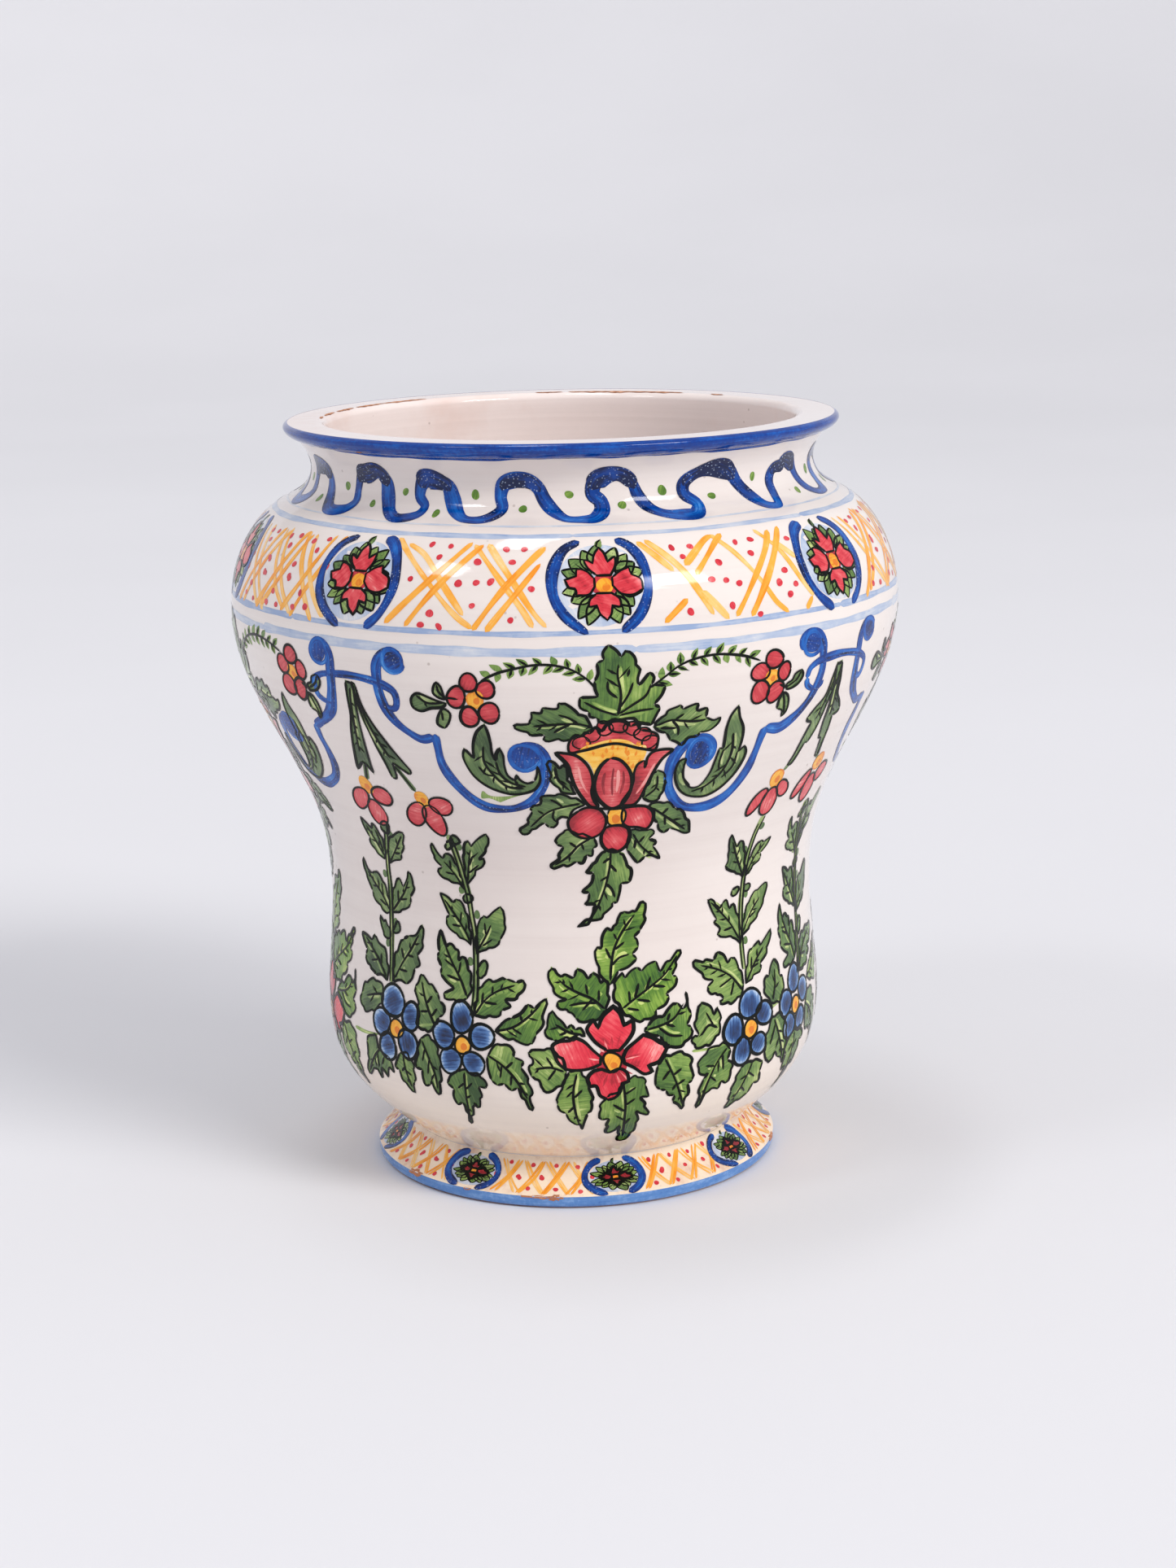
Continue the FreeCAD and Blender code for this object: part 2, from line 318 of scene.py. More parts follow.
YELLOWS = ((0.1, (222, 120, 20)), (0.45, (244, 172, 44)), (0.75, (250, 200, 88)), (1.0, (253, 224, 150)))
ORANGES = ((0.05, (238, 140, 20)), (0.45, (246, 172, 62)), (0.75, (248, 198, 118)), (1.0, (248, 218, 168)))
BARE_CLAYS = ((0.1, (142, 82, 52)), (0.5, (182, 118, 82)), (0.95, (212, 160, 128)))
PALE_BLUES = ((0.05, (148, 168, 203)), (0.4, (176, 189, 212)), (0.7, (198, 205, 218)), (1.0, (220, 220, 223)))
COBALT_FLECKS = (900.0, 0.28, (196, 214, 240))

# Each kind of paint: its material, a slot name, and how far it stands off the glaze in mm.
PAINTS = {
    "leaf": (paint("leaf_green_paint", GREY_GREEN, YELLOW_GREEN, mottle=0.42), "leaf_green", 0.07),
    "ink": (paint("outline_paint", INKS, streak=0.3, mottle=0.3, specular=0.18), "outline_black", 0.24),
    "red": (paint("flower_red_paint", REDS, BRIGHT_REDS), "flower_red", 0.09),
    "yellow": (paint("flower_yellow_paint", YELLOWS), "flower_yellow", 0.11),
    "orange": (paint("lattice_orange_paint", ORANGES, streak=0.4), "lattice_orange", 0.06),
    "cobalt": (paint("cobalt_paint", COBALTS, fleck=COBALT_FLECKS, specular=0.4), "cobalt", 0.12),
    "petal": (paint("petal_blue_paint", FLOWER_BLUES, mottle=0.4), "cobalt", 0.08),
    "clay": (paint("bare_clay_chip", BARE_CLAYS, rough=(0.7, 0.95)), "terracotta", 0.1),
    "wash": (paint("pale_blue_paint", PALE_BLUES, streak=0.5), "pale_blue", 0.03),
}

# ---------------------------------------------------------------- brushes

TOOTH_PITCH = 6.8  # mm of leaf edge to one tooth
TOOTH_PEAK = 0.76  # how far along a tooth its point is
STROKE_STEP = 0.0016  # mm that each stroke of a layer lies above the one before, in rounds of 13
layers = {}


def catmull(points, closed=False, step=1.1):
    """A smooth line through the points, in steps of about the given length."""
    p = np.asarray(points, float)
    if len(p) < 2:
        return p
    if closed:
        p = np.vstack([p[-1], p, p[:2]])
    else:
        p = np.vstack([2 * p[0] - p[1], p, 2 * p[-1] - p[-2]])
    out = []
    for a, b, c, d in zip(p, p[1:], p[2:], p[3:]):
        t1 = max(np.linalg.norm(b - a), 1e-4) ** 0.5
        t2 = t1 + max(np.linalg.norm(c - b), 1e-4) ** 0.5
        t3 = t2 + max(np.linalg.norm(d - c), 1e-4) ** 0.5
        n = max(2, int(math.ceil(np.linalg.norm(c - b) / step)))
        t = (t1 + (t2 - t1) * np.arange(n) / n)[:, None]
        a1 = (t1 - t) / t1 * a + t / t1 * b
        a2 = (t2 - t) / (t2 - t1) * b + (t - t1) / (t2 - t1) * c
        a3 = (t3 - t) / (t3 - t2) * c + (t - t2) / (t3 - t2) * d
        b1 = (t2 - t) / t2 * a1 + t / t2 * a2
        b2 = (t3 - t) / (t3 - t1) * a2 + (t - t1) / (t3 - t1) * a3
        out.append((t2 - t) / (t2 - t1) * b1 + (t - t1) / (t2 - t1) * b2)
    out = np.vstack(out)
    return out if closed else np.vstack([out, p[-2]])


def parse(text):
    """The points of a drawn line, and which of them are corners."""
    words = text.split()
    points = [[float(v) for v in w.rstrip("!").split(",")] for w in words]
    return np.array(points), [w.endswith("!") for w in words]


def line(text):
    return catmull(parse(text)[0])


def runs(text):
    """The smooth runs of a closed line, from corner to corner."""
    points, sharp = parse(text)
    corners = [i for i, c in enumerate(sharp) if c]
    if not corners:
        closed = catmull(points, True)
        return [np.vstack([closed, closed[:1]])]
    out = []
    for a, b in zip(corners, corners[1:] + [corners[0] + len(points)]):
        out.append(catmull([points[i % len(points)] for i in range(a, b + 1)]))
    return out


def closed(text):
    """The outline of a drawn shape, without its repeated corners."""
    return np.vstack([r[:-1] for r in runs(text)])


def grown(text, centre, scale):
    """The outline of a drawn shape, scaled about a centre."""
    return np.array(centre) + (closed(text) - np.array(centre)) * scale


def swung(t, angle):
    """The direction t, turned by the angle."""
    c, s = math.cos(angle), math.sin(angle)
    return np.array([t[0] * c - t[1] * s, t[0] * s + t[1] * c])


def jitter(reach):
    return rng.uniform(-reach, reach)


def serrate(run, forward, size):
    """Gives a smooth run of a leaf's edge the small teeth of the brush, pointing to the tip."""
    gaps = np.linalg.norm(np.diff(run, axis=0), axis=1)
    length = gaps.sum()
    teeth = int(round(length / TOOTH_PITCH))
    if teeth < 2 or not size:
        return run
    at = np.concatenate([[0], np.cumsum(gaps)])
    u = np.linspace(0, length, max(len(run), teeth * 8))
    p = np.column_stack([np.interp(u, at, run[:, i]) for i in (0, 1)])
    t = np.gradient(p, axis=0)
    t /= np.maximum(np.linalg.norm(t, axis=1), 1e-6)[:, None]
    phase = u / length * teeth % 1
    saw = (1 - phase) if forward else phase
    saw = np.where(saw > TOOTH_PEAK, (1 - saw) / 0.24, (saw / TOOTH_PEAK) ** 0.8)
    fade = np.clip(np.minimum(u, length - u) / 1.6, 0, 1)
    out = np.column_stack([-t[:, 1], t[:, 0]])
    return p + out * ((saw - 0.45) * size * fade)[:, None]


def leaf_runs(text, size):
    """A leaf's outline as brush runs, with teeth, whichever way round it was drawn."""
    points = parse(text)[0]
    x, y = points[:, 0], points[:, 1]
    turn = np.sign(np.sum(x * np.roll(y, -1) - np.roll(x, -1) * y))
    found = runs(text)
    whole = sum(len(r) for r in found)
    out, done = [], 0
    for run in found:
        middle = done + len(run) / 2
        out.append(serrate(run, middle < whole / 2, -turn * size))
        done += len(run)
    return out


class Layer:
    """One colour's paint: sheet points with their lift, brush coordinates, tone and hue."""

    def __init__(self, kind, outline):
        self.kind, self.outline = kind, outline
        self.points, self.faces, self.uv, self.tone, self.hue = [], [], [], [], []
        self.count = self.strokes = 0

    def add(self, xy, lift, uv, tone, hue, faces):
        n = len(xy)
        self.strokes += 1
        lift = lift + PAINTS[self.kind][2] + (self.strokes % 13) * STROKE_STEP
        self.points.append(np.column_stack([xy, np.full(n, lift)]))
        self.faces += [tuple(self.count + i for i in f) for f in faces]
        self.uv.append(uv + np.array([self.strokes * 7.3 % 91, self.strokes * 23.7 % 97]))
        self.tone.append(np.broadcast_to(tone, n))
        self.hue.append(np.broadcast_to(hue, n))
        self.count += n


def layer(kind, group, outline=None):
    key = group + "_" + kind
    if key not in layers:
        layers[key] = Layer(kind, outline or BODY)
    return layers[key]


def ribbon(to, path, width, tone=0.45, hue=0.0, lift=0.0, ends=(0.55, 0.3), wave=0.16, spread=0.12):
    """A brush stroke along the path. ends are its shares of full width at its two ends, wave its pressure."""
    path = np.asarray(path, float)
    if len(path) < 3:
        path = catmull(path, step=0.5)
    r = to.outline.at(path[:, 1])[0]
    k = (r / SHEET_RADIUS)[:, None]
    real = np.gradient(path, axis=0) * np.hstack([k, np.ones_like(k)])
    size = np.linalg.norm(real, axis=1)
    real /= np.maximum(size, 1e-6)[:, None]
    side = np.column_stack([-real[:, 1], real[:, 0]])
    along = np.concatenate([[0], np.cumsum((size[1:] + size[:-1]) / 2)])
    total = along[-1]
    phase = rng.uniform(0, 9)
    quick, slow = np.sin(along / 3.1 + phase), np.sin(along / 7.7 + 2 * phase)
    half = width / 2 * (1 + wave * quick * 0.6 + wave * slow * 0.8)
    for share, away in ((ends[0], along), (ends[1], total - along)):
        reach = max(width * 1.3, min(total * 0.35, 7.0) * (1 - share))
        u = np.clip(away / reach, 0, 1)
        half = half * (share + (1 - share) * np.sqrt(1 - (1 - u) ** 2))
        tip = np.clip(away / (width * 0.5), 0, 1)
        half = half * np.sqrt(np.clip(1 - (1 - tip) ** 2, 0.02, 1))
    columns = 3 if width < 2 else 5
    steps = np.linspace(-1, 1, columns)
    xy, uv, tones = [], [], []
    for c in steps:
        offset = side * (half * c)[:, None]
        offset[:, 0] /= k[:, 0]
        xy.append(path + offset)
        uv.append(np.column_stack([half * c, along]))
        tones.append(np.clip(tone + spread * (0.5 - abs(c)) + 0.10 * np.sin(along / 5.3 + phase), 0, 1))
    n = len(path)
    faces = []
    for c in range(columns - 1):
        for i in range(n - 1):
            faces.append((c * n + i, (c + 1) * n + i, (c + 1) * n + i + 1, c * n + i + 1)[::-1])
    to.add(np.vstack(xy), lift, np.vstack(uv), np.concatenate(tones), hue, faces)


def inside(polygon, points):
    x, y = points[:, 0], points[:, 1]
    found = np.zeros(len(points), bool)
    for (x0, y0), (x1, y1) in zip(polygon, np.roll(polygon, -1, axis=0)):
        crosses = (y0 > y) != (y1 > y)
        with np.errstate(divide="ignore", invalid="ignore"):
            found ^= crosses & (x < (x1 - x0) * (y - y0) / (y1 - y0) + x0)
    return found


def fill(to, outline, tone=0.45, hue=0.0, lift=0.0, grid=2.6, axis=None):
    """A painted patch inside a closed line. tone is a number, or a function of the sheet points."""
    outline = np.asarray(outline, float)
    low, high = outline.min(0), outline.max(0)
    gx, gy = np.meshgrid(np.arange(low[0], high[0], grid), np.arange(low[1], high[1], grid))
    inner = np.column_stack([gx.ravel(), gy.ravel()])
    inner = inner + np.random.default_rng(len(outline)).uniform(-0.3, 0.3, inner.shape) * grid
    inner = inner[inside(outline, inner)]
    if len(inner):
        gap = np.min(np.linalg.norm(inner[:, None] - outline[None], axis=2), axis=1)
        inner = inner[gap > 0.7]
    n = len(outline)
    points = [Vector(p) for p in np.vstack([outline, inner])]
    edges = [(i, (i + 1) % n) for i in range(n)]
    made = delaunay_2d_cdt(points, edges, [], 1, 1e-4)
    xy = np.array([tuple(v) for v in made[0]])
    if not len(xy):
        return
    faces = []
    for f in made[2]:
        a, b, c = (xy[i] for i in f[:3])
        turn = (b[0] - a[0]) * (c[1] - a[1]) - (b[1] - a[1]) * (c[0] - a[0])
        if abs(turn) > 1e-5:
            faces.append(tuple(f) if turn > 0 else tuple(f)[::-1])
    angle = axis if axis is not None else rng.uniform(0, math.pi)
    turn = np.array([[math.cos(angle), -math.sin(angle)], [math.sin(angle), math.cos(angle)]])
    tones = tone(xy) if callable(tone) else tone
    to.add(xy, lift, (xy - xy.mean(0)) @ turn, np.clip(tones, 0, 1), hue, faces)


def oval(centre, radii, turn=0.0, rough=0.05, count=22):
    """A hand-drawn closed oval."""
    a = np.linspace(0, 2 * math.pi, count, endpoint=False)
    ph = rng.uniform(0, 6)
    r = 1 + rough * np.sin(2 * a + ph) + rough * 0.7 * np.sin(3 * a + 2 * ph)
    p = np.column_stack([radii[0] * r * np.cos(a), radii[1] * r * np.sin(a)])
    c, s = math.cos(turn), math.sin(turn)
    return p @ np.array([[c, s], [-s, c]]) + np.array(centre)


def side_veins(outline, drawn):
    """Short strokes off a leaf's middle vein, towards its edge, where none is drawn yet."""
    if not drawn or len(drawn[0]) < 12:
        return []
    middle = drawn[0]
    starts = [p[0] for p in drawn[1:]]
    out = []
    for i in range(4, len(middle) - 4, 5):
        for side in (-1, 1):
            t = middle[i + 1] - middle[i - 1]
            t = t / max(np.linalg.norm(t), 1e-6)
            d = swung(t, side * rng.uniform(0.7, 0.95))
            root = middle[i + (side > 0) * 2]
            if any(np.linalg.norm(root - s) < 2.6 for s in starts):
                continue
            steps = root + d * np.arange(0.5, 9, 0.5)[:, None]
            reach = np.flatnonzero(~inside(outline, steps))
            far = (reach[0] if len(reach) else len(steps)) * 0.5 * rng.uniform(0.55, 0.72)
            if far > 1.6:
                out.append(np.array([root, root + d * far * 0.5 + t * 0.15, root + d * far + t * 0.5]))
    return out


class Hand:
    """Where a motif is painted: its shift along the sheet, and how the repeat strays from the first one."""

    def __init__(self, shift=0.0, stray=0.0, group="body", outline=None, origin=(0, 0), size=(1, 1)):
        self.shift, self.stray, self.group, self.outline = shift, stray, group, outline
        self.origin, self.size = np.array(origin, float), np.array(size, float)
        self.ph = [rng.uniform(0, 6) for _ in range(4)]

    def put(self, p):
        p = np.asarray(p, float) * self.size + self.origin
        a = self.stray
        dx = a * (np.sin(p[:, 1] / 21 + self.ph[0]) + 0.5 * np.sin(p[:, 0] / 13 + self.ph[1]))
        dy = a * (np.sin(p[:, 0] / 23 + self.ph[2]) + 0.5 * np.sin(p[:, 1] / 15 + self.ph[3]))
        return p + np.column_stack([dx + self.shift, dy])

    def on(self, kind):
        return layer(kind, self.group, self.outline)

    def stroke(self, kind, text, width, **how):
        path = line(text) if isinstance(text, str) else text
        ribbon(self.on(kind), self.put(path), width, **how)

    def patch(self, kind, text, **how):
        shape = closed(text) if isinstance(text, str) else text
        fill(self.on(kind), self.put(shape), **how)

    def edge(self, text, width=1.15, kind="ink", **how):
        """The outline of a shape, one brush stroke from corner to corner."""
        for run in runs(text) if isinstance(text, str) else [np.vstack([text, text[:2]])]:
            w = width * rng.uniform(0.82, 1.2)
            ribbon(self.on(kind), self.put(run), w, tone=rng.uniform(0.2, 0.5), ends=(0.7, 0.55), **how)

    def leaf(self, text, veins="", tone=0.42, hue=0.0, width=1.04, teeth=1.15):
        parts = leaf_runs(text, teeth)
        outline = np.vstack([r[:-1] for r in parts])
        mid = outline.mean(0)
        spill = 1 + rng.uniform(0.0, 0.035)
        ph = rng.uniform(0, 6)
        across = rng.uniform(4, 7)

        def shade(q):
            return tone + 0.16 * np.sin(q[:, 0] / across + ph) + 0.12 * np.sin(q[:, 1] / across * 1.3 - ph)

        self.patch("leaf", mid + (outline - mid) * spill + jitter(0.25), tone=shade, hue=hue)
        for run in parts:
            brush = width * rng.uniform(0.8, 1.2)
            self.stroke("ink", run, brush, tone=rng.uniform(0.2, 0.5), ends=(0.7, 0.55))
        drawn = [line(v) for v in veins.split(";") if v]
        for path in drawn + side_veins(outline, drawn):
            self.stroke("ink", path, width * 0.88, ends=(0.85, 0.15), tone=0.35)
            if len(path) > 5:
                side = rng.choice((-1, 1)) * rng.uniform(1.1, 1.7)
                beside = path[1:-2] + np.array([side * 0.6, side * 0.7])
                light = dict(tone=min(tone + 0.38, 0.95), hue=hue, lift=0.02, ends=(0.3, 0.2))
                self.stroke("leaf", beside, rng.uniform(1.0, 1.9), **light)

    def petal_oval(self, kind, centre, radii, turn=0.0, heart=None, hue=0.0, width=1.1, tone=0.42):
        shape = oval(centre, radii, turn)
        if heart is None:
            c = self.put([centre])[0]
            size = max(radii)
            shade = lambda q: tone + 0.28 * (1 - np.linalg.norm(q - c, axis=1) / size)
        else:
            c, own = self.put([heart, centre])
            far = np.linalg.norm(np.array(centre) - np.array(heart)) + max(radii)
            shade = lambda q: (
                0.72 * np.minimum(np.linalg.norm((q - own) / np.array(radii), axis=1), 1) ** 2.2
                + 0.62 * np.linalg.norm(q - c, axis=1) / far - 0.19
            )
        self.patch(kind, shape, tone=shade, hue=hue, grid=1.5)
        self.edge(shape, width)


# ---------------------------------------------------------------- the drawn motifs
# A leaf is its outline, its veins, its tone (0 dark to 1 light) and its hue (0 grey green, 1 yellow green).
# A flower is its heart (x, s and two radii) and its petals (the same, with a turn where it matters).

CROWN_LEAF = ("12.5,233! 15,230.7 16.3,228.4! 17.9,229.9 20.3,228 21.4,224 21.2,220.5 21.8,217.5! "
     "25,222.4! 26.3,220.3 25.7,217.6! 30,216.8! 29,213.4 26.8,209.8! 28.8,208.2! 27.8,205.5 26.4,201! "
     "22.5,203 19,204.6 15.8,204.6 11,203.4 9,205.4! 7,205.8 6.6,208! 4,209.6 3.8,213.8! 9.4,213.8! "
     "8.4,217 8.3,219.8! 9.3,222.5 9,226.6! 11.2,227.6! 10.8,230", "15.6,206 16.3,214 15.2,222 "
     "15.5,226;16,209 18.5,214 20,219;15.8,206.5 20,210 24,213.5 25.5,218;16,206 22,207.5 "
     "27,208;15.5,206 10,208.5 5,212;15.3,213 12.5,216 12.2,220;18.2,221 18.8,224", 0.4, 0.62)
BOUQUET_LEAVES = [
    ("-17.1,202.8! -15,202.6 -10.9,204.8 -11.3,208.2! -8,207.9 -7.7,210! -3,209.6 -2.7,211.9! 0.8,209.9 "
     "4.2,206.9 6.6,203.3 8,200.6! 4.4,198.6 1,196.6 -2.6,196.4 -6.8,196.2 -7.5,198.4! -11.5,199 "
     "-14.6,200.5", "7.5,201.5 3,203 -2,203 -11,202.2;3.4,203 0.5,205.5 -3,207;1,203 -2.5,201 -4.5,199.3",
     0.4, 0.3),
    ("27.5,200.3! 30,204.8 32.9,207.2 35.4,208.8! 36.2,206.8! 38.5,207.9 41.3,208.8! 40.9,205.4! "
     "44.6,206.6! 44.6,202.4! 47.6,200.8 50,201.9! 49.4,199.2 46.5,196.5 43.2,196.2! 42.9,194.3! "
     "39.6,194.2 37.9,190.7! 35.6,192.8 33.4,194! 31.8,197.2! 29,198.4", "28,200.6 33,202.6 36,202 "
     "41,201.2 45,201.5;33,202.6 35.5,199 35.8,195.5;29.5,199.5 35,199;34,202.6 37,205", 0.44, 0.25),
    ("-6.7,187.3! -4.6,186 -3,183! -1.8,185.4! -0.4,180 0.5,174.5 2.6,170.8! -0.5,171.6 -3.4,173.4 "
     "-5.4,176.4 -6.2,180", "-4.6,184 -3.6,178 0.5,172.4", 0.3, 0.2),
    ("30.6,180.4! 28.6,176 27.4,171.6 26.6,167.4! 29.4,165.8 32.4,166.4 34.2,169.6 33.8,173 34.2,176! "
     "33,179", "31,178 31.2,172 27.4,167.6", 0.32, 0.2),
    ("-19.7,153.2! -17,156 -15,159.4 -13.9,163! -14.4,164.6! -10.6,166.2 -10.4,168.6 -8.6,170 -4.8,170.8 "
     "0,169.8 3,168 6,166! 1.4,163.4 -0.2,159.6! -3.6,160.6 -4.8,157 -7.8,155.2! -9.4,157.4! -12.6,155.8 "
     "-16.4,152.4", "4,166.4 -2,165 -8,162.5 -15,155.5;-2.4,165 -5,167.4 -7,168.6;-5.6,163.6 -6.2,160 "
     "-5,157.8;-9.5,161.6 -11.8,163.4", 0.38, 0.15),
    ("29.2,163.3! 33.4,164.8 37.6,163.6 40.4,161! 44.2,158.4 46.8,154 48.9,149! 46.4,148.9 42.6,150.8 "
     "39.6,152! 37.4,150! 35,152 34.2,155! 32.4,157 31.8,160.6", "31,162.4 36,158.5 40.5,155 "
     "46.5,150.4;35.4,159 37.6,161.6;36.6,158 37.4,153.5", 0.4, 0.2),
    ("-8.4,137.2! -5,141 -2.8,146.6! -5.4,147.4! -4.8,150.4 -2.2,153.6 1.8,153 6,151.2 9.4,150! "
     "10.4,146.4 9,145.4! 8.6,142 6.4,142.6! 4.8,139 2.6,139.6! -1,138.4", "8,150 3.5,147 -1,142 "
     "-6.5,138.2;4.4,147.8 5.4,144.6;2.6,146 -0.4,148.4", 0.4, 0.2),
    ("23.5,153! 27,152 30,152.4 33.2,150.6 31.4,148! 35,146.4! 33.4,144.6! 35.6,141.6 37.2,138.6! "
     "33,140.6 30.6,140.4! 27.6,137.6! 25.6,140 22.8,143.8! 22.6,147 23,150", "24.6,151 28,145.6 "
     "32,141.8 36,139.4;27.4,146.6 29.6,149.6;26,148.6 25.8,144", 0.4, 0.25),
    ("14.6,144! 10.8,140.8 8.9,137.5 5.8,135! 9.2,134.6! 8.6,130.8 4.2,127! 7.6,126.6! 7,123.4 5.3,122! "
     "10.3,122! 9.4,118.6 7,115.8 2.1,113! 8,115 12.6,116.6 15.8,119.8 17.6,122.4! 19.2,121.8! "
     "20.4,126.4 20.8,129.8! 24.7,129.9! 25,133.4 23,138.2 19.6,143! 16.4,144.6", "16.2,143.5 16,137 "
     "14,128 10,119 7.5,116;16,138 19,134.5;15.4,133 12,131;14.6,130 17,127.5 18.4,124;16.2,141 13,138.5",
     0.42, 0.4),
]
ACANTHUS_LEFT = ("-26.1,202.8! -28.6,200.2 -30.4,196 -31.3,191.4 -31.4,187.4! -34.3,192! -35.2,188.4 "
     "-34.6,183.8 -32.8,179 -29.3,174.8 -25,172.2 -20,170.9 -15.8,171.5 -12.2,173.2 -10,177 -9.8,181.6 "
     "-10.4,184.8! -10.8,180.6 -11.8,177.4! -14.4,176.3 -16.8,178 -17.9,180.6! -18.6,177.8 -20.8,179.9 "
     "-21.5,184.6 -21.4,189.2 -22.3,192.8! -23.7,189.8 -24.2,186.6! -25,190 -25,194.8 -25.4,199.6",
     "-27.6,193.5 -28.2,186 -25.6,179.6 -21.5,174.6 -15.5,173.6;-30.6,184 -28.6,180.4 "
     "-25.5,179.4;-24.2,186.6 -23.4,180.6 -20,176.4 -15,174.8;-18.8,178 -17.6,175.4", 0.34, 0.12)
ACANTHUS_RIGHT = ("55.8,205.8! 57.2,200.8 59.6,195.8 60.5,190 60.3,184.6! 62.3,187.4! 63.8,184 63.4,179 "
     "61.3,173.2 57.2,168.2 52.3,165.5 47.3,165.6 43,167.3 39.8,170.7 37.7,175.8 37.3,180.6 38.4,184 "
     "40.5,184.8! 40.2,180.6 41.2,175 44.6,170.4 48,170.6 50.8,175.6 51.8,182.4 52.2,187.8! 53.8,187.2! "
     "53.3,192.4 53,196.8 53.8,202", "56.2,194 57.6,184 56,176.5 51,170.5 45,168;54,187 53.8,180 "
     "54.8,176.6;60,185 59.8,178 56.4,173;40,180 41,175.4 44.4,171", 0.36, 0.1)
ACANTHUS_SHADOW = "-32,168.4 -31,172 -29,170 -24,169.6 -16,170.9 -20,169.4 -25.2,166.8! -29,168.6"
LOOSE_LEAVES = [
    ("-49.3,212 -47,214.4 -44,213.4 -40,211.6 -37.4,211! -39,209.4 -43,208.6 -46.5,207.2 -49,208.4",
     "-47.5,213.6 -44,210.8 -38,211.2", 0.4, 0.1),
    ("-41,217.6 -40,219 -38.8,217.6 -38,214 -37.2,212.4! -39.6,213 -41.4,214.8", "-40,218.4 -39.6,215.4 "
     "-37.6,213.2", 0.4, 0.1),
    ("-38.8,208.8 -36.8,207 -37.6,203.4 -39.4,200.4! -41.6,202 -41,205.4", "-39.4,207.6 -39.6,203.6", 0.4,
     0.1),
    ("79.4,216.4! 80.3,213.6 78,210.2 74,209.4 73.6,211.6 75.8,212.8 76.6,215", "74.4,210.4 78,213 "
     "79.2,216", 0.4, 0.1),
    ("72.6,208.6! 75,207 76.4,203 76.2,199.4 74.6,197.6! 74.2,200.6 71.8,201.6! 71.6,204.2", "73,208 "
     "74.4,203.6 75.6,198.6", 0.42, 0.15),
]
FERNS = [
    "8.8,217 5.5,221.2 1,224.6 -4.5,226.2 -10,226.2 -15.5,224.9 -20.5,223.3 -26,220.3",
    "25,216.2 29.5,220 34,223.8 38.6,225.8 45.5,226.8 50.5,226.3 56,225 62,222.4",
]
TULIP_CROWN = (
    "0.6,190.6 0.2,194.5 2.4,198.3 4.6,197.4! 5.4,199.4 7,198.6! 8.6,201.4 10.8,199.2! 12,202 14.2,203.7 "
    "17.6,203.4 19.8,201! 21.6,202 23,199.4! 26,198.6 28.8,196.8 29.3,193.4 28.6,190.2 24,191 15,194 "
    "5,191.4"
)
TULIP_THROAT = (
    "2.8,189.6 5,193 8.4,194.2 12,195.5 16,195.9 19.6,194.8 22.4,192.6 25.2,192.4 25.8,189 24.5,184 "
    "22,178 20,170 9,170 8.6,180 6.5,186"
)
TULIP_PETALS = [
    "-4.6,190.8! -1.5,190.4 2.5,189.2 5.6,185.8 7.5,181.5 8.4,176 8.2,171.5 9.4,167 11,164.4! 7.8,164.8 "
     "4.8,169 2.4,174 0.7,180 -0.3,184.6 -2,187.6",
    "35.4,189.6! 31.5,190 28,189.2 26.4,186.6 26.2,183 25.4,185.6! 23.4,184 22.4,180 22.6,176 21.6,171.5 "
     "19.6,167.4 18.5,164.5! 23.5,164.6 25.2,166.4 26.8,171 28.4,176.8 30.2,182.4 32,186.2",
    "13.8,187.4 11.2,184.8 9.5,180.5 8.8,175.5 9.4,170.8 11.8,166.3 15.4,163.4 19,165 21.3,169 "
     "22.1,174.8 21.2,180 18.9,184.4 16.4,186.9",
]
TRIPLE_PETALS = [
    "3.5,162 6.5,163.6 10.5,162.6 12.8,159 12.6,155 10.6,152 6.8,150.8 3,152 0.6,155 0.4,158.6",
    "20.8,162.4 24.5,163.2 28.5,162.6 31,159.6 31,155.6 29.4,153.4 26,154.4 22.5,155 20.6,157.4",
    "14.6,154 13,151.5 13,147.6 15,144.8 18.2,143.9 21.4,145.6 22.8,149.4 22,153 19,154.6",
]
TRIPLE_HEART = "14.2,160.5 15,163 18,163.4 20.6,162 21,158.6 19.8,155.6 17,155.2 14.6,156.6"
SMALL_FLOWERS = [
    ((-28.2, 212.9, 2.6, 3.2), [(-29.8, 219.4, 2.6, 3), (-24.6, 216.9, 2.7, 3), (-24.1, 207.6, 2.8, 4),
     (-30.6, 205.8, 2.8, 3.6), (-34.1, 213.6, 2.7, 3.8)]),
    ((66.9, 215.3, 2.4, 2.9), [(67.3, 222.2, 3.2, 3), (62.3, 218, 3, 3.2), (71.8, 216.9, 2.3, 3.2),
     (63.2, 210, 3.2, 4), (69.3, 209.2, 2.8, 4)]),
]

SCROLL_HOOK = (
    "-53.5,222.3 -51.8,225.7 -52.7,228.6 -55.2,229.4 -58.1,227.8 -60.2,224 -60.6,219 -60.6,213.2 "
    "-59.3,206.5 -56.8,201.5 -52.7,197.3 -48.5,194.8 -43.9,196.5"
)
SCROLL_SWAG = (
    "-43.4,197.6 -43.6,191.1 -43.6,184 -42.1,178.3 -39.3,172.6 -35,167.2 -30.7,164.4 -25,163.6 "
    "-19.3,164.4 -13.6,167.6 -10,172.6 -8.2,177.6 -7.9,182.6 -7.9,188.3 -10.4,192.9 -14,193.5 "
    "-17.4,190.6"
)
LEFT_HOOK = (
    "-85.6,223.6 -86,227.3 -83.9,230.3 -81,229.8 -78.9,226.5 -78.9,220.7 -79.8,214 -81,209 -83.5,203.2 "
    "-87.7,199 -91.8,196.5 -95.6,194"
)
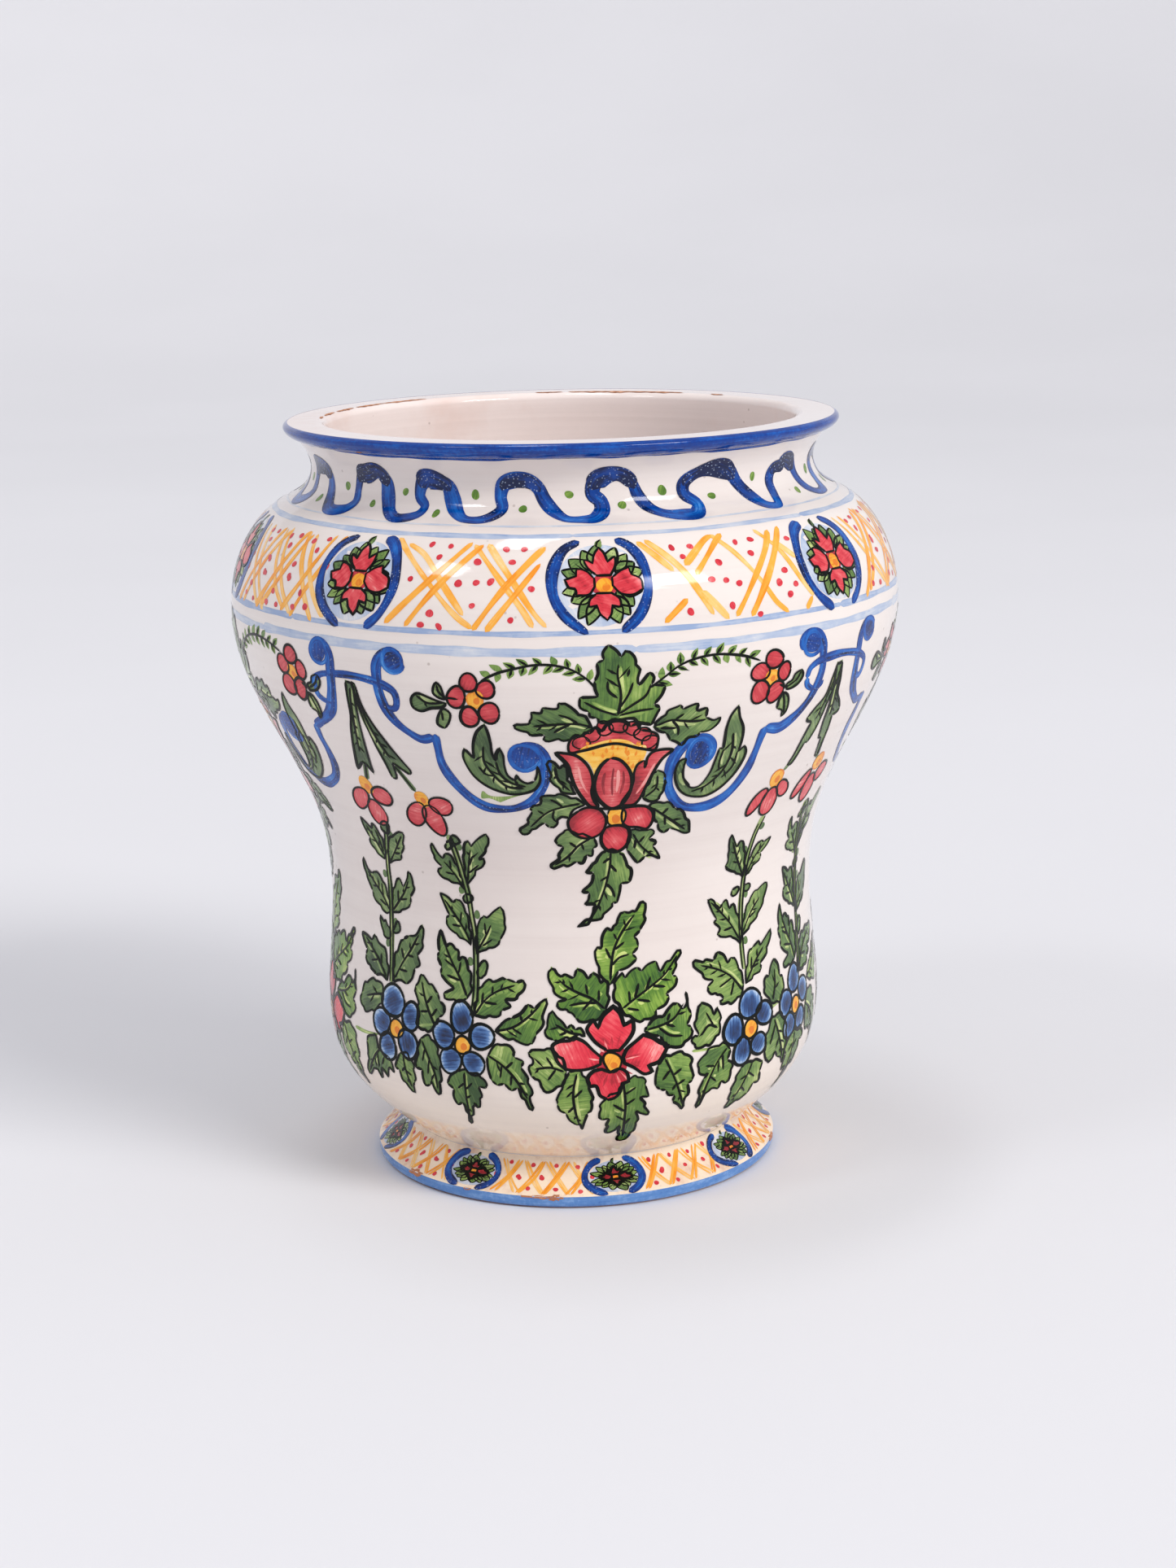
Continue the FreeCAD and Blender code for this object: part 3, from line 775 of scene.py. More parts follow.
LEFT_SWAG = (
    "-95.4,195 -95.6,189 -95.2,182.3 -96,175.7 -99.3,169.8 -104.3,166.5 -110,164.4 -117,165 -122,169 "
    "-124.6,175.6 -125,183 -122.6,190 -118,192.6 -114,190.6"
)
RIGHT_HOOK = (
    "80.1,223.6 79,227 81.3,229 85.5,228.2 88,224.8 88.8,220.7 89.3,214.8 88.4,209 85.9,202.3 81.3,196.5 "
    "75.5,192.8 72.2,193.2 68.8,194"
)
RIGHT_SWAG = (
    "69,194.4 68.4,189 68,182.3 67.2,175.7 64.7,169 60.5,163.6 54.7,160.7 48.8,160.3 43.8,161.5 "
    "39.7,164.8 36.3,170.7 35.1,177.3 35.5,184 38,189.8 41.3,192.8 45.5,193.2 48.8,189.8 49.3,184.8 "
    "47.6,180.7"
)
RING_TOP = (
    "-88.1,211.5 -87.3,215.3 -83.5,217.8 -78.5,218.6 -71.8,219 -64.3,218.2 -58.5,216.5 -55.2,214 "
    "-54.8,209.8 -56,207.3 -58.4,207.4 -60.6,209.2"
)
RING_LEFT = "-88.1,211.8 -87.4,208.8 -84.6,206.8 -81.4,206.9 -79.4,209.4"
HANGING_LEFT = [
    ("-73.2,216.4! -74,209 -74.9,202 -77,195.4 -79.6,186.6 -82.6,176.2! -80,178.6 -78.2,180.6! "
     "-76.4,178.4 -75,175.4! -74.4,181 -73.4,188 -72.4,196 -71.6,203 -70.8,210 -70.4,215.8!", "-71.9,214 "
     "-73.6,204 -75.4,194 -77.4,185", 0.3, 0.0),
    ("-71,216.4! -70.4,210 -69.9,203 -69,194.6 -67.8,185.8 -67,180 -66.6,174.6! -64.9,174.4 -63.8,182.4! "
     "-60.6,179.4 -58,177.2! -57.2,178.8 -59.4,183.6 -62.8,190.8 -66,198.4 -68.6,206.6 -69.6,215.6!",
     "-70,212 -68.4,200 -66,190 -64,184", 0.3, 0.0),
]
HANGING_STALKS = [
    ("-77.3,179.8 -80.2,171.5", 2.3),
    ("-63.5,180.7 -58.5,169", 2.1),
]
HANGING_RIGHT = ("97.2,215.7! 95.9,209 94.7,202.3 91.3,198.2 88.7,194.4! 89.3,192.8 92.2,191.9! "
     "90.9,185.7 89.7,177.3 88.4,172.8! 90.5,172.8 92.6,179 93.4,182.3! 95.1,181.9! 96.8,189 97.6,198.2 "
     "99.3,209 100,214.8!", "97.6,212 96,202 94,192", 0.4, 0.05)
BUDS = [
    ((-82.3, 168.6, 3.2, 3.8), [(-88.9, 161.5, 3.6, 5.6, -0.7), (-82.3, 155.7, 4, 5.6, 0.1), (-76, 164.4,
     4.4, 4, 0.4)]),
    ((-56.8, 165.7, 2.7, 3.6), [(-61.4, 158.2, 3.4, 6, -0.6), (-53.9, 156.1, 3.8, 6.5, 0.2), (-49.3, 163.2,
     4.3, 3.8, 0.3)]),
]
BUDS_RIGHT = [
    ((85.5, 167.3, 3.4, 4), [(78.6, 157.8, 2.6, 6, -0.6), (85.9, 156.5, 3.8, 6, 0), (91.8, 161.5, 2.6, 4.5,
     0.7)]),
    ((112.5, 169, 3.4, 4), [(105.6, 160, 2.8, 6, -0.6), (113, 157, 3.9, 6, 0), (120, 163, 4, 4, 0.5)]),
]

SPRAY_ONE = [
    ("-95.2,151.6! -95.4,147 -93.8,142.6! -94,139.4 -90.6,136 -87.4,134! -85.6,138 -85.6,143 -87.2,147.6 "
     "-88.8,150! -90.2,146.8! -92.6,149.4", "-87,135.6 -90.4,142 -93.6,148.4;-87,137 -87.6,143 -88.4,147",
     0.34, 0.1),
    ("-71.9,148.2! -76,147 -80,144.6 -82.8,141 -84,136 -84.8,132.6! -81,134.6 -77,135.4! -76,138! "
     "-74.4,140.6 -73,144.4", "-84,133.6 -79.6,138.6 -73.4,146.4;-80.4,137.8 -76.6,138.2", 0.34, 0.1),
    ("-103.2,132.4! -104.2,127.6 -101.8,122.6 -100,119! -98,115.6 -94,113.4 -90.4,111.6 -88,112.4! "
     "-88.6,117.4 -90,122.4 -93.2,126.6 -96.4,127.6! -98.4,126.4! -101,127.6", "-88.4,113 -93,119 "
     "-98,123.4 -101.8,127;-90.2,114.6 -95,116.6;-92,118 -92.4,123.6", 0.36, 0.12),
    ("-74.3,131.2! -75.4,128 -78.4,123.8! -80,127.6! -83,124.6 -85.6,119.6 -86.6,112.4! -83,113.4 "
     "-78.6,115 -75,117.6! -74.6,120.4! -72.4,124.4 -72.8,128.4", "-86.2,113.4 -82,117.6 -78,122 "
     "-75,127;-82.4,117 -81.8,122.4;-81,118.4 -76.6,119.4", 0.36, 0.12),
    ("-95.2,110.2! -94.6,106 -92.6,102.6 -89.6,101.6 -87.8,102.6! -88.6,105.4 -90.6,107 -91.4,109! "
     "-92.8,108", "", 0.36, 0.1),
    ("-87.4,105! -85.4,107 -83.6,109.2 -82,108 -82.4,105.6 -85,104.8", "", 0.36, 0.1),
    ("-83.8,149.6 -81.6,151.6 -79.4,151.4 -78.8,148.4 -80.8,146.4 -83,147.2", "", 0.4, 0.1),
]
SPRAY_ONE_STEM = (
    "-80.6,151 -81.8,146.8 -84.3,139.3 -86,131.8 -86.8,122.7 -87.5,111.8 -87.7,101.8 -87.7,84.3"
)
SPRAY_TWO = [
    ("-58.6,145.3! -59.2,141 -57.6,137 -55.8,135! -57.8,133 -56,130.6 -52,129.4 -48.4,128.8 -46.6,126.4! "
     "-47.4,131.6 -48.8,136.4 -50.4,140 -53.2,141.2! -54.6,138.6! -56.6,140.8", "-46.8,127.6 -50.8,133.4 "
     "-54.6,137.6;-50,132.4 -54.6,133;-51.6,134.6 -51.6,138.4", 0.38, 0.2),
    ("-33.1,151.6! -36.4,149.4 -39.6,146.4 -40.6,145! -41.4,148! -43.8,144.6 -44.8,139 -45.2,133 "
     "-44.6,128.6! -42.4,131.4 -40,134.6 -37,137 -35.6,140.6! -38.2,139.4! -35.4,143 -33,147",
     "-44.4,130 -42.8,138 -41.2,144;-43,136.4 -40.4,141.4;-43.6,133.4 -38.4,137.4", 0.38, 0.2),
    ("-58.6,124.2! -56.6,119.6 -54.6,115.6! -56.4,114.2! -55,110.8 -51,108 -47,106.6 -44.6,104.4! "
     "-44.8,110 -46,116 -48,120.6 -50.8,122.4! -52.2,120.6! -54.8,122.8", "-44.8,106 -48.6,112 -53,117.4 "
     "-56.6,121.8;-49,111.6 -53.6,112;-49.4,113 -48.6,117.6", 0.4, 0.3),
    ("-30.4,120.8! -33.6,118.6 -37,116 -38.2,116.8! -41,112.6 -42.2,106.4 -42.2,101.4! -38.6,103.4 "
     "-34,104.6 -31,107.6! -29.4,111 -28.8,115.4", "-41.6,102.6 -38,108 -35,113.4;-39.4,104.6 "
     "-34.6,107.6;-37.6,109 -38,114", 0.42, 0.35),
    ("-48.6,149.4 -46.8,149.6 -45.4,146.4 -48.4,145.6", "", 0.4, 0.1),
    ("-51.6,145.8 -50,147 -49,144.4 -51.8,143", "", 0.4, 0.1),
    ("-46.6,124.6 -43.2,124.2 -43.6,121.6 -46.6,121.6", "", 0.3, 0.1),
    ("-41.4,96 -38.6,98.8 -36.8,98 -38,94.6 -39.6,92 -41,92.6", "", 0.46, 0.4),
]
SPRAY_TWO_STEM = (
    "-49.8,149.8 -48.5,143.5 -46.8,134.3 -44.8,124.3 -43.9,116.8 -42.7,109.3 -42.3,99.3 -42.7,84.3 "
    "-44.3,76.7"
)
SPRAY_THREE = [
    ("70.2,144.6! 70,139 71,133 69.6,131! 74,128 78.6,126.4 80.6,124.4! 81,129 80,134.6 78,139 76,141! "
     "74.6,138! 72,142", "80,126 76,133 71.6,141", 0.4, 0.2),
    ("95.6,139! 91,137.4! 89.4,138.6! 86,136 83.4,131 82,124.6! 86,128 91,131! 90.4,133! 94,136",
     "82.6,126 86.4,131.6 92,137", 0.4, 0.2),
    ("61.4,118.6! 64,113.4 66.4,110! 64.6,109.2! 68,106 66.4,104! 71,102.4 76,101.4 79.6,98! 80,104 "
     "78,110 75.6,114.4 73.4,113! 71.4,117 69.4,116! 67.6,114 64.6,117.6", "79,100 74,107 68,113 "
     "63,117.4;75,105.6 70,105", 0.44, 0.3),
    ("97.6,119.6! 92,118.4 87,116 83.4,111 81,104 80.4,101! 86,104.4 91.4,108 95.6,113.4", "81.4,102.6 "
     "86.4,109.4 92.4,114.6;85,107.4 90,109.6", 0.44, 0.3),
    ("74.6,120.4 78.2,120.8 78,118.6 75,118.2", "", 0.4, 0.2),
    ("82,121.2 85.2,121 85,118.8 82.2,119", "", 0.4, 0.2),
]
SPRAY_THREE_STEM = "86.3,150 83.6,141 81.9,131 81,122.8 80.2,112.2 80,101 80.8,87.8"

BLUE_ONE = ((-83.6, 66.9, 4, 3.9), [(-86.1, 77.6, 6.2, 6), (-75.2, 73.1, 4.4, 5), (-77, 61.7, 5, 5.3),
     (-89.7, 58.5, 5, 4.8), (-93.4, 68.1, 5.2, 5)])
BLUE_TWO = ((-48.5, 65.4, 3.6, 3.7), [(-49, 76.3, 4.8, 5.5), (-39.7, 69.5, 4.8, 4.6), (-43.8, 58.5, 4.6,
     4.2), (-54.7, 58.5, 4.6, 4.8), (-57.7, 68.4, 4.8, 4.8)])
BLUE_THREE = ((82.7, 63.9, 4, 4), [(83.3, 73.9, 6, 5.4), (91.9, 68.3, 4.8, 4.4), (88, 56.7, 4.4, 4.2),
     (77.8, 55.6, 4.8, 5), (72.7, 65.3, 5.2, 5.2)])

GARLAND_ONE = [
    ("-110.3,100.5! -106,100.2 -101.6,98.8! -100.2,101.4! -97,98.6 -93.6,98 -91,94 -90,89 -90.2,84.6! "
     "-94,86.4 -98.4,85.6! -101.4,87.6 -105,89 -106.6,92.4! -105.4,94.6! -108,97", "-91,86 -96,91.6 "
     "-101,95.6 -107,99.4;-94.6,90 -94.8,95;-97,92 -102,90.8", 0.34, 0.15),
    ("-109,76.4! -107,80 -103,82.6 -98,83.6 -94,82.4 -92.4,79.4 -93.6,75.4 -96.6,73 -101,70.6 -106,70 "
     "-109.4,72.6", "-92.8,79 -98,78 -105,76", 0.34, 0.15),
    ("-109.4,42.2! -107.4,47.6 -105,52.4 -105.4,57.6! -102,60.4 -98.6,61.4 -96.4,57 -94,54.6 -90,54.4! "
     "-88.2,52 -87.6,47.6! -90.4,49.4 -93,44.4! -95.4,48 -98.6,42.8! -100.4,47 -104.6,44.8", "-96,56 "
     "-101,51.4 -107.6,44;-93,53.4 -95.4,49.6;-97.6,54 -98.4,47.6", 0.36, 0.25),
    ("-77,40.6! -79.4,42.4 -82.4,45.6 -84,50! -86.4,50.6! -84.4,54 -82,57.4! -78,57.6 -75.4,55 -74.6,50 "
     "-75.6,46! -76.6,44.6", "-80.4,56.4 -79.6,50 -78,43;-79.8,52 -82.2,49.6;-79.4,50.4 -76.6,48.6", 0.38,
     0.3),
    ("-70,90.6! -71.4,87 -73,85.4! -71.4,80 -71,75.6 -71.8,72 -69,69 -64.6,69.4 -61.4,71.6! -60,75! "
     "-57.6,76.4! -57.4,79.6 -59.8,81.4! -60.8,84.4! -64.4,87 -67.6,89", "-62,71.4 -65.4,77 -68,83 "
     "-69.4,88;-65.4,76.6 -70,76;-64,74.6 -61,78.4;-66.4,79.6 -63.6,83", 0.32, 0.2),
    ("-63.3,42.2! -64.8,45 -65.6,48.4! -66.4,46.6! -69.4,45.8 -70.2,49 -69.8,52.6! -73.4,52.8! -72.4,57 "
     "-71,61.4 -69.8,65.4! -66,66.8 -62.4,65 -60.4,60 -60,54 -60.8,49 -62,45", "-69,64.6 -66,58.6 "
     "-63.4,52 -63,45;-67.6,61.4 -69.4,56;-65.6,57.6 -67,51", 0.36, 0.25),
    ("-69.4,110! -73,105.4 -77,104.6! -80,103! -83,99.4 -85.8,94 -86.2,85! -82,86.4 -78,85.4! -75,88 "
     "-73.4,92.4! -70.6,94 -72,97.4! -69.4,101.6 -68.8,106", "-85.4,86.6 -81,93 -76,99 "
     "-71,106;-82.6,90.6 -77.6,90.4;-80,95 -81.4,99.4;-78,97 -74,96.6", 0.34, 0.12),
]
GARLAND_TWO = [
    ("-59.3,109.6! -60.6,105 -60.2,100.6! -61.2,98.6! -59,94.8! -59.4,92! -56.4,89.4 -52.4,87.2! "
     "-58,84.6! -56.4,83 -50,82.6 -46.4,83.6! -44.6,88 -45,93 -46.6,97.4 -48.8,100.2! -50.4,97.8! "
     "-51.2,102 -54,104 -56.6,102.8!", "-46.6,84.6 -49.6,91 -53.6,97 -57.4,104;-49.6,90.4 "
     "-56.4,92;-50.6,93 -49.4,98;-52,95 -57.6,98", 0.38, 0.4),
    ("-21,92.4! -24.4,91.4! -28.6,92.6! -33,91.6 -36.4,91.4 -40,89 -42,83.6 -43.2,77.4! -38.6,77.6 "
     "-33,78 -30.6,80.4! -26.4,82! -29.6,84.4! -24.6,85.6 -21.4,88.6", "-42.6,78 -38.4,83.6 -33,87.4 "
     "-24.6,90.4;-38.6,83 -32.6,82.6;-39.6,82 -39,87;-35,86 -34.6,89.6", 0.44, 0.6),
    ("-11.3,85.6! -14.4,83.6 -16.6,81.6! -19.4,83.2! -22.4,79.6 -26.4,77.6! -29,76.6 -33.8,72! -28.6,70 "
     "-22,68.2 -17.6,68! -16,71.4! -13.6,75 -12.6,80.4", "-33,72.2 -26,74 -19.6,78 -13.6,83.4;-26.4,73.8 "
     "-22,71.4;-22,76.4 -22.6,79", 0.46, 0.7),
    ("-19,39.4! -19.6,44 -18.8,49 -20.4,54 -22.6,58.6! -21.4,61! -25.4,62.4! -27.4,66.6 -31.6,67.2 "
     "-35,65 -37.4,62! -37.2,57 -36,52.4! -33.6,50.4! -30.4,51.4! -27.4,48.4! -24.6,50! -22,44.6",
     "-37,62.4 -31,59 -25,53 -20.6,45;-31,59 -32,53.4;-29.4,57.6 -26,60.6;-27,55 -27.6,50.6", 0.44, 0.5),
    ("-51.6,28! -50.8,32.6 -50.6,38 -51.6,40.6! -54.4,38.8! -55.4,43 -54.4,46.6! -57.4,48.6! -55.4,52 "
     "-52,54.6! -48,55.2 -44.4,54.4 -41.4,54 -39,51.4 -38.8,48.6! -42,49.2! -41.8,44.4 -43.6,40 "
     "-44.8,38.6! -45.4,41.6 -47,37.4 -49.4,32.6", "-48.4,54.4 -48.8,46 -49.4,38 -51,30;-48.6,50 "
     "-52.6,47;-48.6,47 -45,50.4;-49,43 -46.6,44.6", 0.42, 0.45),
]
GARLAND_THREE = [
    ("56.3,78.9! 53,71.6 54.4,66.4! 51,65 52.6,62.4 57,61.6 62,63.4 65,67 65.4,72.6 64.4,76! 62.4,73! "
     "61,76.6 57.4,78.6", "64,68 59.6,69.6 55.4,66;62,69 58.4,75", 0.44, 0.4),
    ("57.4,33.4! 57,38.6 56.4,43 57.4,48! 60,50! 55,51 54.4,54.6 58,59 63,60.8 68,60.6 71,58! 69.6,54! "
     "72,52 72,47 70.4,43.4! 67.4,45.4! 66.4,41.6! 62.6,43 60,40.6", "69,59 64,54 60,46 58,37;66.6,57 "
     "67.6,50;63,52.6 58,53.4;61,48.4 64.6,45.6", 0.44, 0.5),
    ("77.2,27.8! 76.4,33 75,38.4! 76,44 78,48.6! 83,50.4 88,49.6 92,48.4! 91.4,44! 92.6,39 89,39.4! "
     "88.4,34! 84.4,32 80.4,30.4", "85,49.6 82,42 78.4,32;83,44.4 79,43;83.4,45.6 88.4,42.4;81,39.4 85,36",
     0.46, 0.45),
    ("101.4,88! 98.6,85.4 97,82! 93.6,81 93,77 96,72.6 100,70.4 105,71.4 107.4,75 107.6,79.6! 105,80.4! "
     "104.4,85", "98.6,72 101,78 101.4,84", 0.42, 0.3),
    ("109.6,42.8! 107,46 103.4,47.4! 100.6,50.6! 99.4,48 95,47.4 93,52 92.6,57 94.4,61 98,65 103,65.6 "
     "107,62 109,56 109.4,50", "99,64 102.6,57 108,46;99.6,62 96,54", 0.42, 0.3),
    ("53,95.2! 56.4,91 60.4,87.6 63.4,86.6! 60,84.6! 62,81.4 66,81 68,78.6! 66.4,77.4 72,76.4 77.6,78.4 "
     "80,82! 78.6,87 76,92 73.4,94! 71.4,91.8! 69.6,95.4 66,97.4! 64,94.4! 59,94.8", "79,80 73,86.4 "
     "66,90.4 57,93.4;73.4,86 66,83.4;74.4,84.4 72,79", 0.44, 0.45),
    ("100.5,100.2! 96,97.6 92,95! 91.4,97.4! 87,95.4! 84.4,93.6 82.4,88 81,82! 86,84 92,86! 91.4,88! "
     "95.6,91.4 99,96", "82,83 88,89.6 94.4,94.4;85,86.6 86,92;86,87.6 90.4,88.6", 0.44, 0.4),
]
CENTRE_LEAVES = [
    ("30.6,122! 28.4,119.4 25,117.4 22.4,118.4! 19.6,115.4 17,111 15,112.6! 12.8,109 12.4,104! "
     "10.4,105.2! 10,100 11.4,95.4 14,91.4 15.6,90! 17.6,92.6 19.4,95.4! 23.4,96.4 27.6,99.4! "
     "25.6,101.4! 28.4,104! 27.6,107 26.4,108! 29.4,110.4! 31.2,115 31.4,119", "15.8,91.6 16.4,98 "
     "18,104.4 21.6,110.6 27,117;16.4,97.4 20,100.4 24.4,101.4;17.8,103.4 22.4,106.4;16.2,100 "
     "14,104.6;19,107.4 17.6,110", 0.5, 0.85),
    ("-9.1,97.4! -10.2,93.4 -8.4,89 -5,85.8 -2.6,85.2! -7,84.2! -5.6,81.6 -1,80.4 0.6,77.8! 5,76.4 "
     "10.4,77.8 13.4,80.6! 14.6,85 14.4,90 13.2,92.6! 11.6,90.6! 10.6,93.6 8.2,95.2! 6.4,92.6! 4.4,95.6 "
     "1.6,96.8! 0.4,93.4! -3.4,94.2 -6.6,94.8", "13,81 8,85 2,87.6 -3,90.2 -6.4,93;8,85 3.4,80.6;10,83.4 "
     "4,83.6 -2,82.8;6,86.6 5.2,91;10.6,84 10.8,88.6", 0.38, 0.85),
    ("47.8,101! 44.6,99 41,96.4 37.6,93.4! 36,97.8! 32,96.6 29.4,94.4! 27.6,96.2! 24.6,94.8 22,92.2! "
     "21,94.8! 18.4,91.4 17,86.6 18.4,83 21.4,79 24.6,76.6 29,75.4 33.6,76.4 35.4,79! 39.6,80.6 "
     "41.4,83.4! 40,84.6! 44.6,87.6 45.4,90.6! 43.4,91.4! 45,95.4", "20.6,80.6 26,84 33,88 40,92.4 "
     "46,99;26,84 28,90;24,82.4 23.6,87.4;31,86.6 33.4,92;27,83.6 33,82.4;34,88.4 40,87.4;22.6,80.6 "
     "28,79.4", 0.5, 0.9),
    ("-9,81! -11.4,75.6 -11.4,71 -8.6,69.4! -5,70 -1,70.8 2,71.4! 4.6,70.6! 2.6,74 0.4,73.4! -1.2,75.6! "
     "-3,73.8! -5,76.6 -7.4,78.6", "3.6,71.4 -2,72.4 -8,75.6;-3,72.6 -6.4,71.4", 0.46, 0.8),
    ("49.2,84.4! 49.6,80 47.4,77.6! 45,80.6! 41,78.6 37.4,76 33.4,75 31,73! 29.6,71.2! 33,69.4 "
     "36.4,68.6! 38,66 39.4,64 43,63.4 48,64.6 50.6,67 51,70.4! 49,71.4! 51.4,75.4! 50,78 49.8,81",
     "31,71.6 37,72.6 43,74.6 48,80;36,72 41,68.4 47,67.4;39,73 43.6,71.4;40,74 41.4,77", 0.44, 0.7),
    ("49.5,34.6! 49,38.4 50.4,43 50,47.4! 52,48.6! 51,54 50.4,58 47,60.6 42,60.8 38,59.6 35.4,57! "
     "34.4,52 34.6,48.4! 37,46.6! 39.6,46! 41,43.6 44,43.2! 43.6,40! 46.6,38", "38.6,59.4 42,53 45.4,46 "
     "48.8,37.6;41,54.6 37.6,50.4;42.4,52 46.4,54.4;44,48 42.6,45.4;44.6,47.6 48.4,49.6", 0.46, 0.6),
    ("-19.6,64.4! -17.4,62 -19,58 -18.6,55! -15,53.6 -14.4,50 -11.4,48.8 -7.6,50.4 -4.8,53 -3.6,57! "
     "-5,61 -7.6,64.4 -12,66 -16,65.4", "-4.6,57 -10,58.6 -17,58;-8,58 -11.6,53.4;-9,58.6 -12,63", 0.44,
     0.5),
    ("2.7,28.2! 1.6,32 0.4,31.4! -3,34.6 -4.4,38.4! -7,40 -8,43! -6.8,48 -4.4,53 -2.6,57! 1.4,57 4.6,54 "
     "6.4,48 7,42 5,38! 3.6,33", "0.6,56 -1,48 -0.4,40 1.6,31;-1,49 -4,46;-0.8,45.6 3,49.4;-0.6,42 "
     "-3.6,38.6", 0.46, 0.6),
    ("22.8,17.2! 20.4,20 20.6,25 19.8,30! 18.6,27 15,24.6! 14,27 14.4,31.6 14.6,34.8! 11.4,34! 10.4,38 "
     "11,42 13.4,45.6! 18,47.6 21.4,52! 26,53.4 29,52.4 30,49.4! 32,44! 28,44.6! 31,39 33,34.4! "
     "28.6,36.4 26.8,38! 28.2,31 27.4,25 25.4,20", "20.4,51 21.6,42 22,32 22.8,21;21,46 26,49;21.4,41 "
     "26,44;21.6,38 16,42;21.8,33 17.6,36;22,30 24.6,34", 0.44, 0.6),
]
CENTRE_PETALS = [
    "13.8,64.6! 9.4,67.6 7,70.4 5.7,73 8.4,76.4! 10.2,73.2! 12.2,77.4 16.6,81! 19.2,78.4 20.8,73.6! "
     "24.6,75.4! 24.6,71.4 22,67.6 18.6,64.4!",
    "-8.3,67 -5.6,68.6 -1,68.8! 1.4,69.8! 4.4,68.4 8,65 11,62.4! 10.8,59.6! 7,58.2 2,57.6 -3,58.2 "
     "-6,60.4 -7.4,63.6",
    "39.2,64.6! 35.6,66 32.6,68 28.6,69.4! 25,67 21.6,64.6 20,61.6! 20.6,59.4! 24.4,57.4 29,54.4 "
     "32.4,55! 30.6,57.6! 35,58.6 37,61",
    "14,45! 10.6,47 9,51 6.4,51! 5.6,54.4 8,57 11.4,57.6! 14.6,56.2! 18.6,57.4 21.6,55.6 22.4,52! "
     "19.6,51.6! 19,48 16.6,45.6",
]
CENTRE_HEART = (15.7, 60.2)

CARTOUCHE_ARCS = [
    "-6.8,17.2 -11.8,13.8 -14.8,8 -16,1.3 -15.2,-5.3 -12.3,-11.2 -8.5,-15.3 -5.2,-18",
    "5.3,17.6 9,15 11.9,10.5 13.6,4.7 14,-1.2 12.75,-7 9.8,-12.8 4.8,-17.8",
]
CARTOUCHE_PETALS = [
    "-2,3! -4.8,6 -6,9.6 -4.2,9! -3.2,8! -2.4,12 -0.6,15! 1,12.6 2,8.6! 4.6,10.6 4.4,6.6 2.6,3!",
    "-2.4,-4! -4.8,-6.4 -5,-9 -2.6,-8.6! -1.6,-12 0.6,-14.4! 2,-12 2.4,-8.8! 5,-9.4 5,-6.4 2.4,-4!",
    "-3,1.8! -5.6,5 -8.6,5.8 -9,3! -12.8,1.6! -11.4,-1.6 -9.6,-2 -9,-4.6! -5,-4.4 -3,-1.4!",
    "3,2! 6,4.6 9,5.8! 9.6,3! 12.6,1 13,-3! 9.6,-5 5.6,-4.4 3,-1.2!",
]

MEANDER_FRONT = (
    "-90,301.8 -82.9,303.6 -79.3,300 -77.1,293.6 -72.9,287.1 -67.9,284 -62.9,284.6 -58.6,287.1 "
    "-57.4,290.7 -60.7,294.3 -60.7,297.8 -57.9,301.4 -52.9,301 -47.9,298.6 -45.7,294.3 -42.9,289.3 "
    "-38.6,285.3 -32.9,284.6 -27.9,286.4 -24,290.7 -25,295 -24,299.3 -20,301.4 -14.3,301.4 -10,298.6 "
    "-7.1,293.6 -2.9,288.6 1.4,285.3 7.1,284.7 12.1,285.3 15.4,289.3 15,292.8 12.1,295.7 13.1,300 "
    "17.1,302.8 22.9,303.3 27.9,300 30.7,294.3 34.3,289.3 40,285.7 47.1,284.3 52.9,284.7 55.4,289.3 "
    "50.7,293.6 50.7,297.1 55,300.7 61.4,302.8 68.6,302.8 74.3,300 78.6,295 83.6,289.3 87.9,284.3 "
    "93.6,283.6 97.1,289.3 97.9,295 102.1,299.3 107.9,300"
)
MEANDER_WAVE = (
    "0,301.6 5,301 9,298.4 12,293.6 16,288.6 21,285.2 27,284.6 32,286 35,290 34,294.5 34.5,298.5 38,301.3"
)
MEANDER_DOTS = (
    "-84.3,290 -68.3,295.7 -51.1,287.6 -35.7,295.7 -15.7,290.3 2.6,295.7 23.6,291 41.1,295.7 63.3,292 "
    "87.4,297.4 107.6,288"
)
LATTICE_UP = [
    "-59,273 -45,257 -33,243 -28,239", "-54,270.5 -47,266 -38,254 -31,243.6",
    "-30,271 -21,258 -13,246 -9.6,239.5", "-25.4,271.4 -16,256 -9,244 -5.6,239.6",
    "51.6,272 58,263 65,251 69,243 73.4,238.6", "27.4,271.6 38,258 46,241", "24.6,271 35,258",
    "69.6,272 76,262 81,250 85,243", "43,250 51,239", "75,266 82,258",
]
LATTICE_DOWN = [
    "-57,239.6 -44,255 -36,265 -31,272", "-50,239 -40,254 -30,267 -27,271",
    "-28,238.5 -19,253 -10,265 -6,270", "-24,238 -14,253 -7.5,263", "30,239.6 38,247.6",
    "42,256 52,268 56,272", "39,260 49,270 52,271.6", "53.6,239.6 62,252 71,264 75.6,271",
    "59,239 66,250 74,262 81,272", "81,238.6 84.5,243",
]
LATTICE_DOTS = (
    "-45.4,270.6 -38.4,270 -41.4,265.2 -49.8,256.2 -28,263.6 -33.4,255.2 -27.6,255.6 -23,256 -19,269 "
    "-13,269 -16.6,263.6 -28.4,247.2 -41.8,244 -44.6,239.8 -38.6,239.4 -16.4,242.2 -10.2,253.4 36,267.4 "
    "42.6,267.4 39,263.4 59.8,267.4 66.2,267.8 64,262.2 51,260 47,253.8 52,253 56.4,251.4 52.6,243.6 "
    "38.4,242.8 62.2,239.4 75,254 71.6,249.8 78.2,248.4 75,245 81.6,266"
)

# ---------------------------------------------------------------- painting

